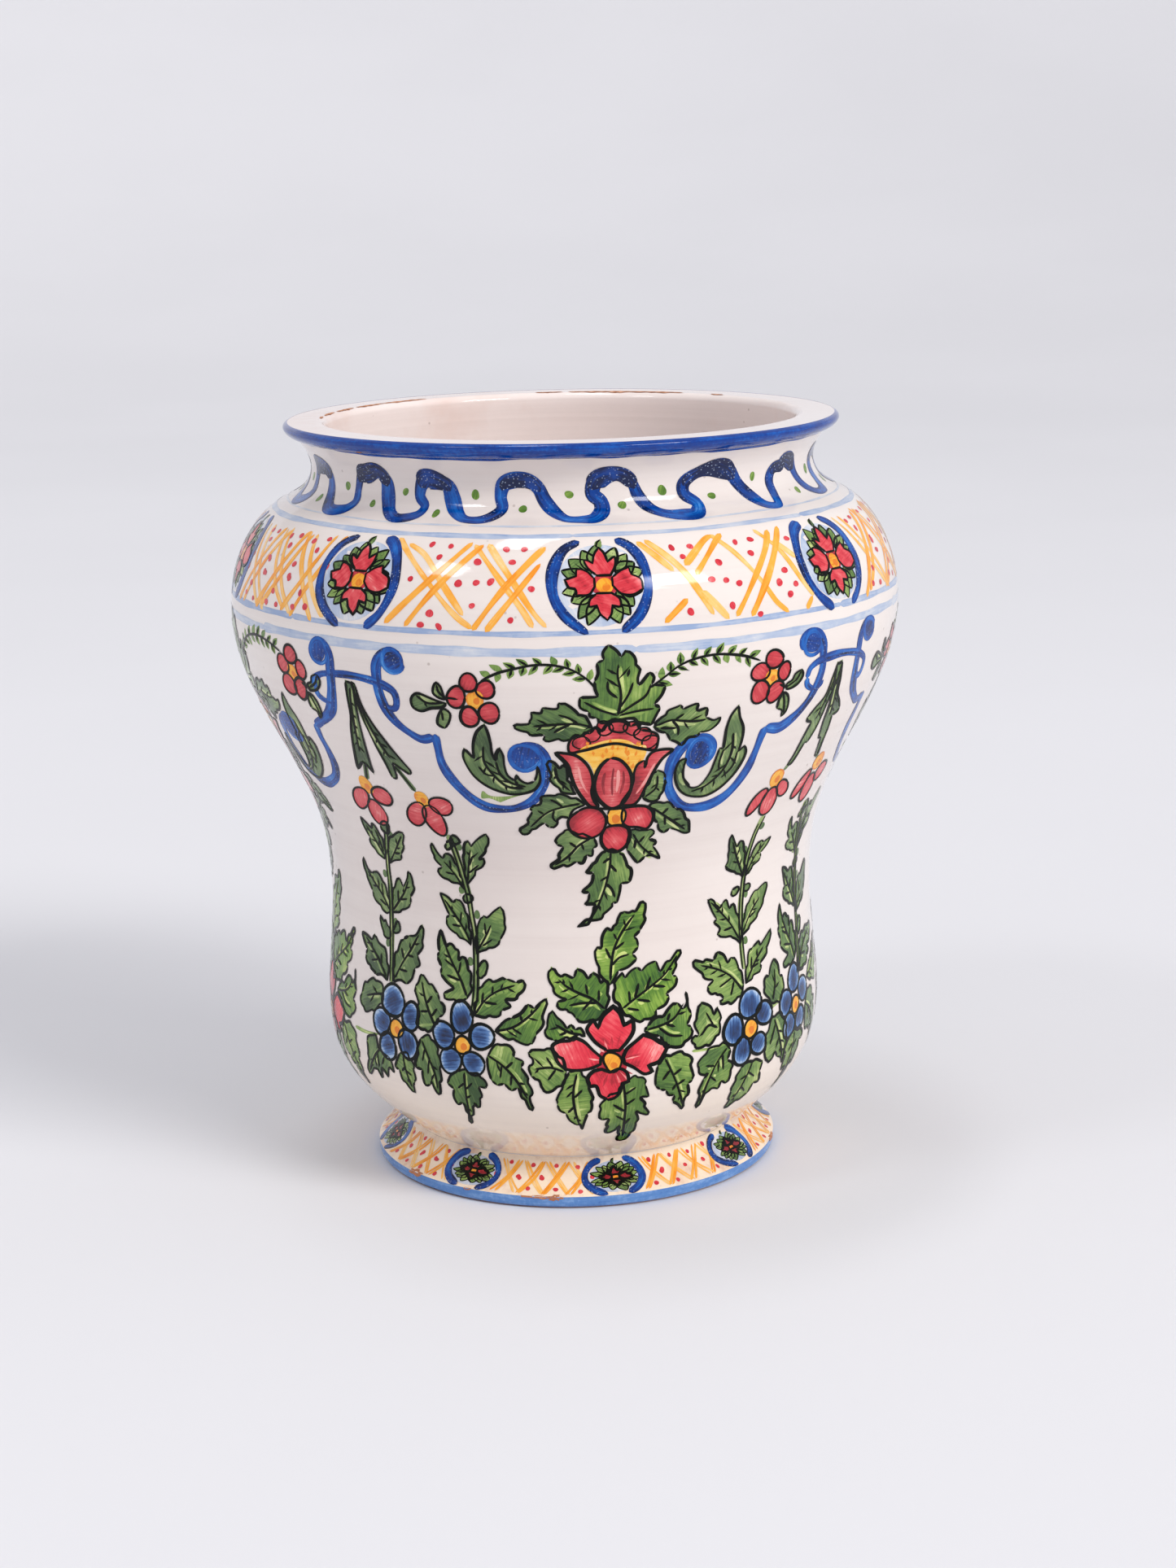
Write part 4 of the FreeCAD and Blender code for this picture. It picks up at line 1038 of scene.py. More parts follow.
UPRIGHT = 1.57  # the turn of a patch's streaks that run up the vase
PETAL_SWELL = 1.12
TULIP_LOBES = (
    (4.4, 194.6), (7.6, 198.2), (11.6, 200.8), (16.0, 201.4), (20.4, 200.2), (24.0, 197.4), (26.6, 193.8),
)
TULIP_STREAKS = (
    ("15.2,183 15,176 15.4,169.6", 0.9, 0.08), ("12.4,181 11.8,176 12.6,170", 0.9, 0.08),
    ("18.6,181.4 19,176 18.2,170", 0.9, 0.08), ("16.8,182 17.1,176 16.8,171", 1.2, 0.95),
    ("3.2,184 4.4,177 7,170.6", 1.1, 0.9), ("29.4,184 27.4,177 24,169.6", 1.1, 0.9),
)
# Each scroll: its line, its width, and the oval that its curl ends in.
SWAG_RIGHT = ((SCROLL_HOOK, 4.0, (-54.4, 226.0, 3.0, 3.4)), (SCROLL_SWAG, 3.9, (-14.4, 188.3, 4.2, 5.4)))
SWAG_LEFT = ((LEFT_HOOK, 4.4, (-83.4, 226.4, 3.0, 3.6)), (LEFT_SWAG, 4.0, (-115, 189.4, 4.6, 5.6)))
SWAG_LEFT_WIDE = ((RIGHT_HOOK, 4.4, (83.4, 225.6, 3.4, 3.8)), (RIGHT_SWAG, 4.1, (45.1, 186.5, 3.6, 6.2)))
RING = ((RING_TOP, 3.0), (RING_LEFT, 2.6))

BAND_CENTRE = 255  # the middle of the shoulder band, between its wash lines
CARTOUCHE_CENTRES = [12.0, 99.5, 187.0, 275.0, 363.0 - ROUND, 451.0 - ROUND, 541.0 - ROUND, 622.0 - ROUND]
LARGE_CARTOUCHE = dict(ink=1.0, bloom=0.93, arc_width=3.9, base=0.5, hue=0.35, rim=0.95)
SMALL_CARTOUCHE = dict(ink=0.6, bloom=0.66, arc_width=3.1, base=0.02, hue=0.0, rim=1.05)
# Each pale line: its height s, its width, its tone, and how often the brush skips.
PALE_LINES = (
    (281.5, 0.9, 0.75, 0.5), (275.5, 2.3, 0.4), (237.6, 2.1, 0.2, 0.2), (231.0, 2.9, 0.55),
    (1.6, 1.4, 0.8, 0.4),
)
DRAWN_END = 100  # the shoulder lattice is drawn from listed lines from -40 to here, and by rule beyond
FOOT_REPEATS = 8
# Each chip: its x, half its length and its depth, in mm.
RIM_CHIPS = (
    (-262, 14, 0.9), (-238, 11, 0.8), (-216, 9, 0.7), (-196, 8, 0.6), (-180, 4, 0.5), (298, 16, 0.9),
    (316, 8, 1.1), (330, 12, 0.8), (-340, 7, 0.6), (262, 4, 0.5),
)
FOOT_CHIPS = (
    (-100, 6, 1.6), (-20, 9, 0.8), (-12, 4, 1.3), (-62, 3, 0.6), (150, 7, 1.2), (262, 5, 1.0), (-230, 8, 0.9),
)


def ridge(hand, x, light, rate):
    """A tone that is lightest along a line up the vase, and darker away from it."""
    return lambda q: light - rate * np.abs(q[:, 0] - hand.shift - x)


def scroll(hand, text, width, curl=None):
    """A blue scroll: the broad stroke, and the blob its curl ends in."""
    path = line(text)
    hand.stroke("cobalt", path, width, tone=0.5, ends=(0.8, 0.75), spread=0.3)
    dark = path[len(path) // 5 : -len(path) // 5]
    hand.stroke("cobalt", dark + np.array([0.5, -0.4]), width * 0.34, tone=0.24, lift=0.012, ends=(0.3, 0.3))
    if curl:
        hand.patch("cobalt", oval(curl[:2], curl[2:], 0.2), tone=0.3, lift=0.02, grid=1.6)
        ring = oval(curl[:2], (curl[2] + 0.7, curl[3] + 0.7), 0.2)
        hand.stroke("cobalt", ring, 1.9, tone=0.55, lift=0.024, ends=(0.6, 0.5))


def scrolls(hand, parts):
    for part in parts:
        scroll(hand, *part)


def blade(hand, root, tip, width, tone=0.4, hue=0.3, ink=0.0, lift=0.0):
    """A small pointed leaf from root to tip, with a dark edge and rib if ink is given."""
    root, tip = np.array(root, float), np.array(tip, float)
    d = tip - root
    side = np.array([-d[1], d[0]]) / np.linalg.norm(d) * width / 2
    a, b = rng.uniform(0.85, 1.15), rng.uniform(0.85, 1.15)
    up = [root + d * 0.22 + side * 0.8 * a, root + d * 0.5 + side * a, root + d * 0.8 + side * 0.55 * a]
    down = [root + d * 0.76 - side * 0.6 * b, root + d * 0.46 - side * b, root + d * 0.2 - side * 0.7 * b]
    up, down = catmull([root, *up, tip], step=0.8), catmull([tip, *down, root], step=0.8)
    hand.patch("leaf", np.vstack([up[:-1], down[:-1]]), tone=tone, hue=hue, lift=lift, grid=1.5)
    if ink:
        for edge in (up, down):
            hand.stroke("ink", edge, ink * rng.uniform(0.8, 1.2), ends=(0.8, 0.5), tone=0.3, lift=-0.14)
        rib = np.array([root, root + d * 0.35 + side * 0.1, root + d * 0.75])
        hand.stroke("ink", rib, ink * 0.8, ends=(0.8, 0.2), tone=0.3, lift=-0.14)


def fern(hand, text):
    """A stalk with small leaves off both its sides."""
    path = line(text)
    hand.stroke("ink", path, 0.9, ends=(0.8, 0.3))
    for i in range(4, len(path) - 3, 4):
        t = path[i + 1] - path[i - 1]
        t /= np.linalg.norm(t)
        for side in (1, -1):
            d = swung(t, side * rng.uniform(0.75, 1.1))
            root = path[i] + t * side * 0.6
            blade(hand, root, root + d * rng.uniform(3.6, 5.0), rng.uniform(1.9, 2.5), tone=0.55, hue=0.55)
            if rng.random() < 0.85:
                rib = np.array([root, root + d * 1.6, root + d * rng.uniform(2.8, 4.4)])
                hand.stroke("ink", rib, 0.95, ends=(0.8, 0.35))


def blossom(hand, heart, petals, kind="red", hue=0.0, width=1.0, tone=0.42):
    """A small flower: round petals, then its yellow heart."""
    middle, radii = heart[:2], heart[2:]
    for p in petals:
        turn = p[4] if len(p) > 4 else rng.uniform(-0.2, 0.2)
        size = (p[2] * PETAL_SWELL, p[3] * PETAL_SWELL)
        hand.petal_oval(kind, p[:2], size, turn, middle if kind == "petal" else None, hue, width, tone)
    hand.patch("yellow", oval(middle, radii), tone=0.45, lift=0.02, grid=1.4)
    hand.edge(oval(middle, radii), width * 0.8, kind="ink" if kind == "petal" else "yellow", lift=0.03)
    speck = oval((middle[0] + 0.5, middle[1] - 0.6), (radii[0] * 0.4, radii[1] * 0.4))
    hand.patch("yellow", speck, tone=0.05, lift=0.04, grid=1.4)


def tulip(hand):
    """The bouquet's big flower: its ruffled crown, its yellow throat, and three petals in front."""

    def ruffled(q):
        return 0.42 + 0.2 * np.sin(q[:, 0] / 1.5)

    hand.patch("red", TULIP_CROWN, tone=ruffled, axis=UPRIGHT, grid=1.8, lift=-0.045)
    hand.edge(TULIP_CROWN, 1.2)
    for x, s in TULIP_LOBES:
        lobe = oval((x, s), (2.7, 3.0), rough=0.08)
        hand.patch("red", lobe, tone=ridge(hand, x, 0.62, 0.16), grid=1.5, lift=-0.045)
        hand.edge(lobe, 0.7, lift=-0.17)
    hand.patch("yellow", TULIP_THROAT, tone=0.66, grid=1.8, axis=UPRIGHT, lift=-0.015)
    for _ in range(34):
        x, s = rng.uniform(5, 25), rng.uniform(180, 194)
        top = (x + (x - 15) * 0.06, s + rng.uniform(1.6, 3.0))
        fleck = np.array([(x, s), (x + (x - 15) * 0.03, s + 0.9), top])
        hand.stroke("orange", fleck, rng.uniform(0.9, 1.5), tone=-0.1, lift=0.075)
    for petal, middle in zip(TULIP_PETALS, (2.5, 31.0, 15.4)):
        hand.patch("red", petal, tone=ridge(hand, middle, 0.78, 0.09), lift=0.06, axis=UPRIGHT, grid=1.7)
        hand.edge(petal, 1.25)
    for text, width, tone in TULIP_STREAKS:
        hand.stroke("red", text, width, tone=tone, lift=0.09, ends=(0.3, 0.2))
    hand.stroke("ink", "26.2,186 25.9,181.6", 1.0)
    hand.stroke("ink", "7.5,164.4 15.8,163.2 26.7,164.4", 1.1)


def triple(hand):
    """The three round petals under the tulip."""
    for text, centre in zip(TRIPLE_PETALS, ((7, 157), (26, 158), (18, 148.6))):
        c = hand.put([centre])[0]

        def shade(q):
            return 0.85 - 0.11 * np.linalg.norm(q - c, axis=1)

        petal = grown(text, centre, 1.13)
        hand.patch("red", petal, tone=shade, hue=0.25, lift=0.07, grid=1.6)
        hand.edge(petal, 1.15, lift=0.02)
    hand.patch("yellow", TRIPLE_HEART, tone=0.45, lift=0.09, grid=1.5)
    hand.edge(TRIPLE_HEART, 0.9, lift=0.03)
    hand.patch("yellow", oval((17.4, 158.4), (1.6, 2.0)), tone=0.05, lift=0.115, grid=1.4)


def bouquet(hand):
    for text in FERNS:
        fern(hand, text)
    for leaf in LOOSE_LEAVES:
        hand.leaf(*leaf, width=1.0, teeth=0)
    for leaf in BOUQUET_LEAVES:
        hand.leaf(*leaf)
    hand.patch("leaf", ACANTHUS_SHADOW, tone=0.7, hue=0.4)
    hand.leaf(*ACANTHUS_LEFT, teeth=0)
    hand.leaf(*ACANTHUS_RIGHT, teeth=0)
    hand.leaf(*CROWN_LEAF)
    hand.stroke("ink", "-39,213 -36.5,213.2 -33.5,212.8", 1.0)
    hand.stroke("ink", "70.5,212 73,210.6 75,210.4", 1.0)
    for heart, petals in SMALL_FLOWERS:
        blossom(hand, heart, petals, tone=0.3)
    tulip(hand)
    triple(hand)


def hanging(hand, leaves, stalks, buds):
    """The long leaves that hang from the ring, and the buds below them."""
    for leaf in leaves:
        hand.leaf(*leaf, width=1.0, teeth=0)
    for text, width in stalks:
        hand.stroke("leaf", text, width, tone=0.45, ends=(0.9, 0.8))
        hand.stroke("ink", text, 0.7, ends=(0.8, 0.3))
    for heart, petals in buds:
        blossom(hand, heart, petals, width=0.8, hue=0.1, tone=0.45)


def mirrored(leaf, about):
    """A leaf drawn the other way round."""

    def flip(text):
        return " ".join(f"{2 * about - float(x):.1f},{s}" for x, s in (w.split(",") for w in text.split()))

    return flip(leaf[0]), ";".join(flip(v) for v in leaf[1].split(";") if v), leaf[2], leaf[3]


def spray(hand, leaves, stem):
    """A tall stem with small buds and its leaves."""
    path = line(stem)
    aside = np.array([0.9, 0])
    hand.stroke("leaf", path, 2.6, tone=0.66, hue=0.2, ends=(0.9, 0.9))
    hand.stroke("ink", path + aside, 0.8, ends=(0.7, 0.4))
    hand.stroke("ink", path[3:] - aside, 0.7, ends=(0.4, 0.4))
    for i in range(5, len(path) - 5, 9):
        bud = oval(path[i] + np.array([rng.choice((-2.6, 2.6)), 0]), (1.4, 1.7))
        hand.patch("leaf", bud, tone=0.35, hue=0.2, grid=1.5)
    for leaf in leaves:
        hand.leaf(*leaf, width=0.9, teeth=0.8)


def garland(hand, leaves, blue, sprig, stem):
    """The leaves round a blue flower, then the spray that rises from it."""
    for leaf in leaves:
        hand.leaf(*leaf)
    blossom(hand, *blue, kind="petal", width=1.15)
    spray(hand, sprig, stem)


def centre_group(hand):
    """The big red flower low on the body, and its leaves."""
    heart = np.array(CENTRE_HEART)
    for leaf in CENTRE_LEAVES:
        hand.leaf(*leaf)
    hand.stroke("leaf", "51,60.6 60,60.2 70,60.8", 1.3, tone=0.7, hue=0.5)
    hand.stroke("leaf", "96,69 105,71 112,72", 1.3, tone=0.7, hue=0.3)
    c = hand.put([CENTRE_HEART])[0]

    def rays(q):
        angle = np.arctan2(q[:, 1] - c[1], q[:, 0] - c[0])
        return -0.02 + 0.034 * np.linalg.norm(q - c, axis=1) + 0.1 * np.sin(3.0 * angle * 3)

    hand.patch("red", oval(CENTRE_HEART, (7.0, 6.6)), tone=0.05, hue=0.8, grid=1.7)
    for text in CENTRE_PETALS:
        petal = grown(text, CENTRE_HEART, 1.04)
        hand.patch("red", petal, tone=rays, hue=0.9, lift=0.02, grid=1.7)
        hand.edge(petal, 1.3, lift=0.01)
    for a in np.linspace(0.2, 6.4, 19):
        d = np.array([math.cos(a), math.sin(a)])
        reach = rng.uniform(7, 11.5) + 2.5 * abs(math.sin(2 * a + 1.57))
        near, far = heart + d * 5.2, heart + d * reach
        ray = np.array([near, (near + far) / 2 + jitter(0.3), far])
        width, tone = rng.uniform(0.8, 1.3), rng.choice((0.02, 0.05, 0.9))
        hand.stroke("red", ray, width, tone=tone, hue=0.7, lift=0.035, ends=(0.5, 0.15))
    hand.patch("yellow", oval(CENTRE_HEART, (3.7, 3.8), 0, 0.1), tone=0.4, lift=0.05, grid=1.4)
    hand.edge(oval(CENTRE_HEART, (3.8, 3.9), 0, 0.1), 1.0, lift=0.05)
    speck = oval((CENTRE_HEART[0] + 0.6, CENTRE_HEART[1] - 1.4), (1.6, 1.2))
    hand.patch("yellow", speck, tone=0.04, lift=0.07, grid=1.2)


def cartouche(hand, ink, bloom, arc_width, base, hue, rim):
    """A medallion: two blue arcs, a wreath of small leaves, and a red flower of four petals."""
    glow = oval((-0.8, 0), (13.4, 15.6), 0, 0.02, 40)
    hand.patch("wash", glow, tone=lambda q: 0.62 + 0.3 * np.sin(q[:, 0] / 3), grid=3.0, axis=0.3)
    for arc in CARTOUCHE_ARCS:
        hand.stroke("cobalt", arc, arc_width, tone=0.3, ends=(0.75, 0.35), spread=0.3)
    for turn in (0.75, 2.3, 3.9, 5.5):
        for k in (-0.52, -0.18, 0.16, 0.5):
            a = turn + k
            d = np.array([math.cos(a) * 0.86, math.sin(a)])
            near, far = d * rng.uniform(5, 6), d * rng.uniform(13.4, 16.2)
            bend = np.array([-d[1], d[0]]) * jitter(1.2)
            width, tone, leaf_hue = rng.uniform(4.4, 5.8), rng.uniform(0.35, 0.75), rng.uniform(0.2, 0.5)
            blade(hand, near, far + bend, width, tone, leaf_hue, 0.75 * ink, 0.01)
    hand.stroke("leaf", "0,13.5 -0.6,15.6 0.4,17.6", 3 * ink, tone=0.4, hue=0.3)
    hand.stroke("ink", "-1.4,14 -0.8,16.4 0.6,17.8", 0.8 * ink)
    hand.patch("red", oval((0.3, -0.6), (4.4 * bloom, 4.6 * bloom)), tone=0.3, lift=0.02, grid=1.6)

    def shade(q):
        return base + 0.16 * np.sin(q[:, 0] * 1.3 + q[:, 1])

    for text in CARTOUCHE_PETALS:
        petal = closed(text) * bloom
        hand.patch("red", petal, tone=shade, hue=hue, lift=0.045, grid=1.6)
        hand.edge(petal, rim)
    hand.patch("yellow", oval((0.3, -1), (2.7 * bloom, 3.2 * bloom)), tone=0.3, lift=0.06, grid=1.4)
    hand.patch("yellow", oval((0.8, -1.6), (1.2, 1.4)), tone=0.03, lift=0.085, grid=1.2)


def dots(text):
    return [tuple(float(v) for v in w.split(",")) for w in text.split()]


def red_dot(hand, at, radii, turn=0.0, hue=0.4):
    hand.patch("red", oval(at, radii, turn), tone=0.45, hue=hue, grid=1.2)


def cross(hand, up, down, thin, thick, tone, ends):
    """Two orange strokes that cross, the rising one on top."""
    hand.stroke("orange", catmull(down), rng.uniform(*thin), tone=0.6, ends=ends)
    hand.stroke("orange", catmull(up), rng.uniform(*thick), tone=tone, lift=0.01, ends=ends)


def band_line(hand, s, width, tone, breaks=0.0):
    """A pale blue line drawn round the turning vase, thinner and thicker as the brush dries."""
    x = np.arange(-ROUND / 2, ROUND / 2 + 1, 2.2)
    start = 0
    while start < len(x) - 3:
        end = min(len(x), start + rng.randint(40, 90))
        part = x[max(0, start - 2) : end]
        y = s + 0.28 * np.sin(part / 31 + s) + 0.12 * np.sin(part / 9.0)
        brush, shade = width * rng.uniform(0.85, 1.15), tone + jitter(0.1)
        hand.stroke("wash", np.column_stack([part, y]), brush, tone=shade, ends=(0.5, 0.4))
        start = end + (rng.randint(0, 3) if rng.random() < breaks else 0)


def drawn_lattice():
    """The shoulder's orange lattice and red dots as the photo shows them."""
    hand = Hand(0, 0.0, "shoulder")
    for k, (group, tone) in enumerate(((LATTICE_UP, 0.6), (LATTICE_DOWN, 0.35))):
        for text in group:
            hand.stroke("orange", text, rng.uniform(1.9, 2.5), tone=tone, lift=0.01 * k, ends=(0.8, 0.4))
    for at in dots(LATTICE_DOTS):
        red_dot(hand, at, (rng.uniform(0.95, 1.35), rng.uniform(1.0, 1.5)), jitter(0.5))


def ruled_lattice(low, high, crosses=3):
    """The same lattice by rule, between two medallions that the photo doesn't show."""
    pitch = (high - low) / crosses
    rows = ((268.4, 3.2), (264.2, 0.0), (257.4, pitch / 2), (252.4, pitch / 2), (246.6, 0.0), (242.0, 3.2))
    hand = Hand(0, 0.35, "shoulder")
    for c in range(crosses):
        x0 = low + pitch * c
        for twin in (0, 1):
            dx = twin * 4.2 + jitter(1.4) * 0.4
            up = np.array([
                (x0 + dx - 1 + jitter(1.4) * 0.5, 239 + jitter(1.4)),
                (x0 + pitch * 0.33 + dx, 249 + jitter(1.4) * 0.4),
                (x0 + pitch * 0.66 + dx, 260 + jitter(1.4) * 0.4),
                (x0 + pitch + dx - 1.5 + jitter(1.4) * 0.5, 271.4 + jitter(1.4)),
            ])
            down = np.array([(2 * x0 + pitch - p[0] + 2.0, p[1] + jitter(1.4) * 0.4) for p in up])
            cross(hand, up, down, (1.7, 2.3), (1.9, 2.5), 0.35, (0.8, 0.4))
        for s, spread in rows:
            for side in (-1, 1) if spread else (0,):
                x = x0 + pitch / 2 + side * spread + jitter(0.9)
                if low - 2 < x < high + 2:
                    red_dot(hand, (x, s + jitter(1)), (rng.uniform(0.9, 1.3), rng.uniform(0.9, 1.4)), hue=0.3)


def shoulder_band():
    """The lattice, its medallions, and the pale lines above and below it."""
    drawn_lattice()
    order = sorted(c % ROUND for c in CARTOUCHE_CENTRES)
    for a, b in zip(order, order[1:] + [order[0] + ROUND]):
        if DRAWN_END <= (a + b) / 2 % ROUND <= ROUND - 40:
            low = a + 15.0
            ruled_lattice(DRAWN_END + 14 if low < DRAWN_END + 2 else low, b - 15.5)
    for centre in CARTOUCHE_CENTRES:
        shake = 0.0 if centre == CARTOUCHE_CENTRES[0] else 0.25
        cartouche(Hand(0, shake, "shoulder", None, (centre, BAND_CENTRE)), **LARGE_CARTOUCHE)
    lines = Hand(0, 0, "shoulder")
    for row in PALE_LINES:
        band_line(lines, *row)


def neck_band():
    """The cobalt meander: the front as drawn, then the same wave round to it again."""
    hand = Hand(0, 0.0, "neck")
    front, wave = parse(MEANDER_FRONT)[0], parse(MEANDER_WAVE)[0]
    end = front[-1][0]
    gap = front[0][0] + ROUND - end
    count = round(gap / 41.1)
    pitch = gap / count
    rest = []
    for i in range(count):
        w = wave.copy()
        w[:, 0] = w[:, 0] * (pitch - 3.6) / 38.0 + end + 1.5 + i * pitch
        w[:, 1] = (w[:, 1] - 293) * rng.uniform(0.94, 1.06) + 293 + jitter(0.5)
        rest.append(w)
    rest = np.vstack(rest)
    half = len(rest) // 2
    path = catmull(np.vstack([rest[half:] - np.array([ROUND, 0]), front, rest[: half + 1]]))
    hand.stroke("cobalt", path, 5.1, tone=0.4, ends=(0.95, 0.95), wave=0.22, spread=0.3)
    high = np.flatnonzero(path[:, 1] > 297)
    for group in np.split(high, np.flatnonzero(np.diff(high) > 1) + 1):
        if len(group) > 4:
            crest = path[group] - np.array([0, 0.35])
            thick = rng.uniform(5.9, 6.9)
            hand.stroke("cobalt", crest, thick, tone=0.04, lift=0.02, ends=(0.35, 0.3), wave=0.25)
    spots = dots(MEANDER_DOTS)[:-1]
    for i in range(count):
        x = end + i * pitch
        spots += [(x + 7.5, 288.6), (x + 27, 295.6)]
    for at in spots:
        size = rng.uniform(1.6, 2.3), rng.uniform(1.3, 2.0)
        hand.patch("leaf", oval(at, size, rng.uniform(0, 3)), tone=0.5, hue=0.75, grid=1.3)


def foot_band(crosses=4):
    """The small medallions and lattice on the foot's flank."""
    hand = Hand(0, 0, "foot", FLANK)
    middle = (FLANK.low + FLANK.high) / 2 - 0.2
    pitch = ROUND / FOOT_REPEATS
    step = (pitch - 30) / crosses
    spots = ((0.5, FLANK.high - 3.4), (0.5, FLANK.low + 3.0), (0.02, middle), (0.98, middle))
    for i in range(FOOT_REPEATS):
        centre = 22.0 + i * pitch + (jitter(2) if i else 0)
        medallion = Hand(0, 0.0, "foot", FLANK, (centre, middle), (1.12, 0.44))
        for c in range(crosses):
            x0 = centre + 15 + step * c
            for dx in (0, 2):
                up = np.array([
                    (x0 + dx + jitter(0.8), FLANK.low + 1.0),
                    (x0 + step / 2 + dx + jitter(0.8) * 0.5, middle + jitter(0.8) * 0.3),
                    (x0 + step + dx - 1 + jitter(0.8), FLANK.high - 1.6),
                ])
                down = np.array([(2 * x0 + step - p[0] + 2, p[1]) for p in up])
                cross(hand, up, down, (0.8, 1.15), (0.85, 1.2), 0.3, (0.7, 0.5))
            for dx, s in spots:
                if rng.random() < 0.9:
                    at = (x0 + step * dx + jitter(1), s + jitter(0.6))
                    red_dot(hand, at, (rng.uniform(1.1, 1.5), rng.uniform(0.8, 1.1)))
        cartouche(medallion, **SMALL_CARTOUCHE)


def chips():
    """Bare clay where the glaze has chipped: along the mouth's inner edge, on the lip and round the foot."""

    def ragged(low, high, like):
        return np.array([rng.uniform(low, high) for _ in like])

    hand = Hand(0, 0, "chips_rim", RIM_SKIN)
    u = np.linspace(-1, 1, 14)
    back = u[::-1]
    for x, length, width in RIM_CHIPS:
        top = RIM_TOP.high + 0.3 + width * (1 - u**2) * ragged(0.4, 1.3, u)
        low = RIM_TOP.high - 0.2 - width * (1 - back**2) * ragged(0.2, 1.4, u)
        top, low = np.column_stack([x + u * length, top]), np.column_stack([x + back * length, low])
        edge = np.vstack([top[:-1], low[:-1]])
        hand.patch("clay", edge, tone=lambda q: 0.58 + 0.3 * np.sin(q[:, 0] * 1.3), grid=1.0)
    hand.patch("clay", oval((-86, LIP.low + 2.2), (1.6, 0.9), 0, 0.25), tone=0.3, grid=0.8)
    hand = Hand(0, 0, "chips_foot", FOOT_SKIN)
    a = np.linspace(0, 2 * math.pi, 18, endpoint=False)
    for x, length, width in FOOT_CHIPS:
        r = ragged(0.6, 1.25, a)
        edge = np.column_stack([x + length * r * np.cos(a), EDGE.high - 0.2 + width * r * np.sin(a)])
        hand.patch("clay", edge, tone=0.5, grid=0.8)


def right_hanging():
    """The leaves and buds between the front bouquet and the one to its right."""
    hand = Hand(0, 0.0, "upper")
    hanging(hand, [HANGING_RIGHT, mirrored(HANGING_RIGHT, 98.5)], [], BUDS_RIGHT)
    hand.stroke("leaf", "90,173.5 87.6,170", 2.0, tone=0.5)
    hand.stroke("leaf", "107.2,173.5 110,171", 2.0, tone=0.5)


def paint_all():
    """The whole vase. The shifts are where each repeat is, and the first, at 0, is as drawn."""
    chips()
    neck_band()
    shoulder_band()
    foot_band()
    for shift in (0, 174, 350, -166):
        shake = 0.9 if shift else 0.0
        bouquet(Hand(shift, shake, "upper"))
        centre_group(Hand(shift, shake, "lower"))
    for shift in (0, 170, 346, -170):
        hand = Hand(shift, 0.6 if shift else 0.0, "upper")
        if shift == 170:
            scrolls(Hand(0, 0.0, "upper"), SWAG_LEFT_WIDE)
            scrolls(hand, SWAG_RIGHT)
            right_hanging()
        else:
            scrolls(hand, SWAG_RIGHT)
            scrolls(hand, SWAG_LEFT)
            hanging(hand, HANGING_LEFT, HANGING_STALKS, BUDS)
        scrolls(hand, RING)
    for shift in (0, 346, -170):
        hand = Hand(shift, 0.9 if shift else 0.0, "lower")
        garland(hand, GARLAND_ONE, BLUE_ONE, SPRAY_ONE, SPRAY_ONE_STEM)
    for shift in (0, 346, -170, 167.5):
        hand = Hand(shift, 0.9 if shift else 0.0, "lower")
        garland(hand, GARLAND_TWO, BLUE_TWO, SPRAY_TWO, SPRAY_TWO_STEM)
    garland(Hand(0, 0.0, "lower"), GARLAND_THREE, BLUE_THREE, SPRAY_THREE, SPRAY_THREE_STEM)


# ---------------------------------------------------------------- meshes

SKIN_DEPTH = 0.42  # mm
SEGMENTS = 320


def shaded(name, points, faces):
    """A smooth mesh object in the scene."""
    mesh = bpy.data.meshes.new(name)
    mesh.from_pydata(points, [], faces)
    mesh.polygons.foreach_set("use_smooth", [True] * len(mesh.polygons))
    piece = bpy.data.objects.new(name, mesh)
    bpy.context.scene.collection.objects.link(piece)
    return piece


def build(name, points, normals, faces, material, uv, attributes, replaces=()):
    """A piece of the vase from its points, with the analytic normals of the surface it lies on."""
    piece = shaded(name, [tuple(p) for p in points], faces)
    mesh = piece.data
    mesh.materials.append(material)
    corner = np.empty(len(mesh.loops), int)
    mesh.loops.foreach_get("vertex_index", corner)
    mesh.uv_layers.new(name="brush").data.foreach_set("uv", uv[corner].ravel())
    for key, data in attributes.items():
        mesh.attributes.new(key, "FLOAT", "POINT").data.foreach_set("value", np.asarray(data, float))
    mesh.normals_split_custom_set_from_vertices([tuple(n) for n in normals])
    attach(piece, "root")
    if replaces:
        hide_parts(*replaces)


